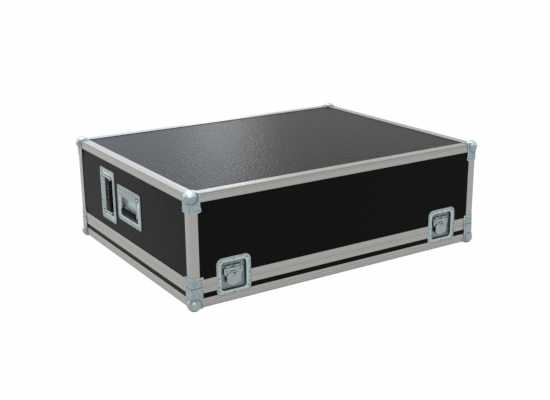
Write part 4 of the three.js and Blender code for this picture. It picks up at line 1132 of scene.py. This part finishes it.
# A flange with a drawn pocket, joined with the walls of the bail's cradles and then hollowed out
def handleDishSkin():
    look = handleDish
    long, wide = look["length"] / 2, look["width"] / 2
    sheet, depth, draft = look["sheet"], look["depth"], look["draft"]
    rim = rectangle(-long, long, -wide, wide, look["round"], 10)
    flange = plate(rim, -look["flange"], 0, bevel=0.6, rolls=3)
    inner = pocketProfile(look)
    cutter = handlePocket([*inner, (look["lip"], 1.0)], np.append(pocketShadeAndHighlight - pocketPaintedLight, 0))
    # a painted highlight brightening the pocket toward its hinge side
    cutter.tone -= look["hingeShine"] * easeIn(cutter.points[:, 1], 0, look["towardHinge"])
    outer = handlePocket([(inner[0][0], -depth - sheet), (-draft + 0.2, -depth - sheet + 0.6),
                          (-draft + sheet, -depth + 1.2), (sheet, -0.7)])
    end, hinge, half = look["pocketLength"] / 2, look["hinge"], look["cradleHalf"]
    legSide = bail["legSpacing"] / 2 - half

    def trough(near, high, start, stop, sign, grow):  # a channel along X with rounded lower edges
        low, far, bend = -look["axisDepth"] - half - grow, hinge + half + grow, half + grow - 0.05
        section = outline([(far, high), (near, high), (near, low, bend), (far, low, bend)], 8)
        return plateAlongX(section, sign * (start - grow), sign * (stop + grow), bevel=0.3, rolls=2)

    def channels(high, grow):  # on each side a slot for the leg out of the pocket, and a cradle for the pin
        return [channel for sign in bothSides for channel in (
            trough(look["towardHinge"] - half - 1, high, legSide, end, sign, grow),
            trough(hinge - half - grow, high, legSide, end + look["pinReach"], sign, grow))]

    walls, hollows = channels(-0.7, sheet), channels(1.5, 0.0)
    for hollow in hollows:
        # painted shade in the cradles' hollows
        hollow.tone += look["cradleShade"]
    joined = [("UNION", part) for part in [outer] + walls]
    cut = [("DIFFERENCE", part) for part in [cutter] + hollows]
    return carved(flange, joined + cut)


def bailSkin():  # a bar along the grip, up both legs and out to the pins in the cradles
    look, dish = bail, handleDish
    leg, end = look["legSpacing"] / 2, dish["pocketLength"] / 2 + dish["pinReach"] - gap
    hinge, grip = dish["hinge"], dish["hinge"] - look["gripReach"]
    right = [(end, hinge), (leg, hinge, look["hingeBend"]), (leg, grip, look["gripBend"])]
    return tube(atDepth(outline(mirrored(right), 8), -dish["axisDepth"]), look["radius"], sides=20)


# Sleeve round the bar: rings along it whose width and thickness swell a little toward the middle.
# Each ring is cos and sin of its angle, both raised to the power 2 / square
def gripSkin():
    look, dish, sides = bail, handleDish, 36
    half = look["legSpacing"] / 2 - look["gripBend"] - gap
    place = np.array([-1, -0.995, -0.98, -0.95, -0.8, -0.5, -0.2, 0.2, 0.5, 0.8, 0.95, 0.98, 0.995, 1])
    girth = np.array([0.70, 0.82, 0.9, 0.93, 0.94, 0.97, 1, 1, 0.97, 0.94, 0.93, 0.9, 0.82, 0.70])
    turn = spokes(sides)
    squarer = np.sign(turn) * np.abs(turn) ** (2 / look["gripSquare"])
    ring = squarer * (look["gripWidth"], look["gripThickness"]) / 2
    outer = np.concatenate([np.broadcast_to((place * half)[:, None, None], (len(place), sides, 1)),
                            girth[:, None, None] * ring], -1)
    bore = (look["radius"] + look["gripPlay"]) * turn
    inner = np.stack([np.column_stack([np.full(sides, x), bore]) for x in (half, -half)])
    rings = np.concatenate([outer, inner]) + (0, dish["hinge"] - look["gripReach"], -dish["axisDepth"])
    return gridSkin(rings, rowsClosed=True, columnsClosed=True)


def makeHandles():
    dish, bar, grip = handleDishSkin(), bailSkin(), gripSkin()
    for name in handleNames:
        at, node = handleFrame(name), f"handle_{name}"
        rider = f"{node}_bail"
        madePiece(f"{node}_pressing", dish.placed(*at), dishZinc, "hood", "dish", [f"{node}_dish"])
        madePiece(f"{node}_bar", bar.placed(*at), mechanismZinc, rider, "mechanism", [rider], sharp=50)
        madePiece(f"{node}_sleeve", grip.placed(*at), blackGrip, rider, "grip", [f"{node}_grip"], sharp=50)
        for x, y in handleRivets:
            addRivet("hood", *at, x, y, scale=0.85)


makeHandles()
for body, skins in rivetPlaces.items():
    madePiece(f"{body}_rivets", together(skins), rivetSteel, body, "mechanism", sharp=40)
print("handles and rivets made")

# Foam bed: rings of a rounded rectangle from its foot up its sides and in over a slightly crowned top,
# which rises by the crown times 1 - (1 - share) cubed
foam = dict(foot=1.5, edge=5.0, crown=0.8, cornerRound=3.0, topRings=24, topReach=0.98)


def makeFoam():
    low, high = boxOf("tray_foam")
    half = (high - low)[:2] / 2
    foot, edge, shoulder = foam["foot"], foam["edge"], high[2] - foam["crown"]
    turn = np.linspace(0, math.pi / 2, 7)
    share = np.linspace(0, 1, foam["topRings"])[1:]
    inward = np.linspace(edge, half[1] * foam["topReach"], foam["topRings"])[1:]
    insets = np.concatenate([[foot, 0, 0], edge * (1 - np.cos(turn)), inward])
    heights = np.concatenate([[low[2], low[2] + foot, shoulder - edge], shoulder - edge * (1 - np.sin(turn)),
                              high[2] - foam["crown"] * (1 - share) ** 3])
    rings = []
    for inset, height in zip(insets, heights):
        x, y = half - inset
        rings.append(atDepth(rectangle(-x, x, -y, y, max(foam["cornerRound"] - inset * 0.2, 0.5), 4), height))
    bed = madePiece("foamBed", closedLoft(rings), charcoalFoam, "tray", "foam", ["tray_foam"], sharp=70)


makeFoam()
print("foam made")

# Studio, in metres: the floor glows and the world is white where they are seen, and both light softly
studio = dict(floorHalf=12.0, floorWhite=0.86, floorGlow=0.985, worldLight=0.45)
lamps = dict(  # place, aim, size, power and colour
    broadSheen=((1.07, 3.76, 1.34), (-0.3, 0, 0.34), (1.4, 0.9), 7.1, (0.66, 0.80, 1.0)),
    narrowSheen=((1.67, 3.30, 1.45), (-0.3, 0, 0.34), (0.42, 1.3), 5.1, (0.93, 0.97, 1.0)),
    overhead=((-0.8, 0.2, 2.9), (-0.2, 0, 0.3), (3.2, 1.8), 50, (1, 1, 1)),
    frontLight=((-2.5, -3.0, 3.0), (0, 0, 0.2), (2.5, 2.5), 55, (1, 1, 1)),
    leftLight=((-2.6, 2.8, 0.8), (-0.5, 0, 0.2), (1.2, 1.2), 12, (1, 1, 1)),
)
view = dict(  # found from the straight edges of the case in the photograph
    at=(-1.5248, -2.4160, 1.0000), forward=(0.5122, 0.8083, -0.2903), heading=-0.5649, roll=-0.0109,
    lens=59.63, sensor=36,
)


def makeFloor():
    mesh = bpy.data.meshes.new("floor")
    half, white = studio["floorHalf"], studio["floorWhite"]
    corners = [(-half, -half, 0), (half, -half, 0), (half, half, 0), (-half, half, 0)]
    mesh.from_pydata(corners, [], [(0, 1, 2, 3)])
    ground = objectOf("floor", mesh)
    paint = Paint("paleFloor", Base_Color=(white, white, white, 1), Roughness=0.9, Specular_IOR_Level=0.1)
    glow = paint.node("Emission", {}, {"Color": (1, 1, 1, 1), "Strength": 1.0})
    pale = Value(paint, paint.shader.outputs[0])
    paint.blended(paint.seen() * studio["floorGlow"], pale, glow, "Material Output")
    mesh.materials.append(paint.material)


def makeWorld():
    world = bpy.data.worlds.new("studio")
    bpy.context.scene.world = world
    world.use_nodes = True
    graph = Graph(world.node_tree)
    graph.tree.nodes.remove(graph.tree.nodes["Background"])
    lit, shown = (graph.node("Background", {}, {"Color": (1, 1, 1, 1), "Strength": strength})
                  for strength in (studio["worldLight"], 1.0))
    graph.blended(graph.seen(), lit, shown, "World Output")


def areaLight(name, at, toward, size, power, colour):
    light = bpy.data.lights.new(name, "AREA")
    light.shape, light.size, light.size_y = "RECTANGLE", *size
    light.energy, light.color = power, colour
    lamp = objectOf(name, light)
    lamp.location = at
    lamp.rotation_mode = "QUATERNION"
    lamp.rotation_quaternion = (Vector(at) - Vector(toward)).to_track_quat("Z", "Y")


def makeCamera():
    camera = bpy.data.cameras.new("camera")
    camera.lens, camera.sensor_width = view["lens"], view["sensor"]
    shown = objectOf("camera", camera)
    forward = np.array(view["forward"])
    forward /= np.linalg.norm(forward)
    right = np.array([math.cos(view["heading"]), math.sin(view["heading"]), 0])
    up = np.cross(right, forward)
    cosine, sine = math.cos(view["roll"]), math.sin(view["roll"])
    right, up = right * cosine + up * sine, -right * sine + up * cosine
    place = Matrix.Identity(4)
    for row in range(3):
        place[row] = (right[row], up[row], -forward[row], view["at"][row])
    shown.matrix_world = place
    bpy.context.scene.camera = shown


makeFloor()
makeWorld()
for name, values in lamps.items():
    areaLight(name, *values)
makeCamera()
bpy.context.scene.view_settings.view_transform = "Standard"
print("studio ready")
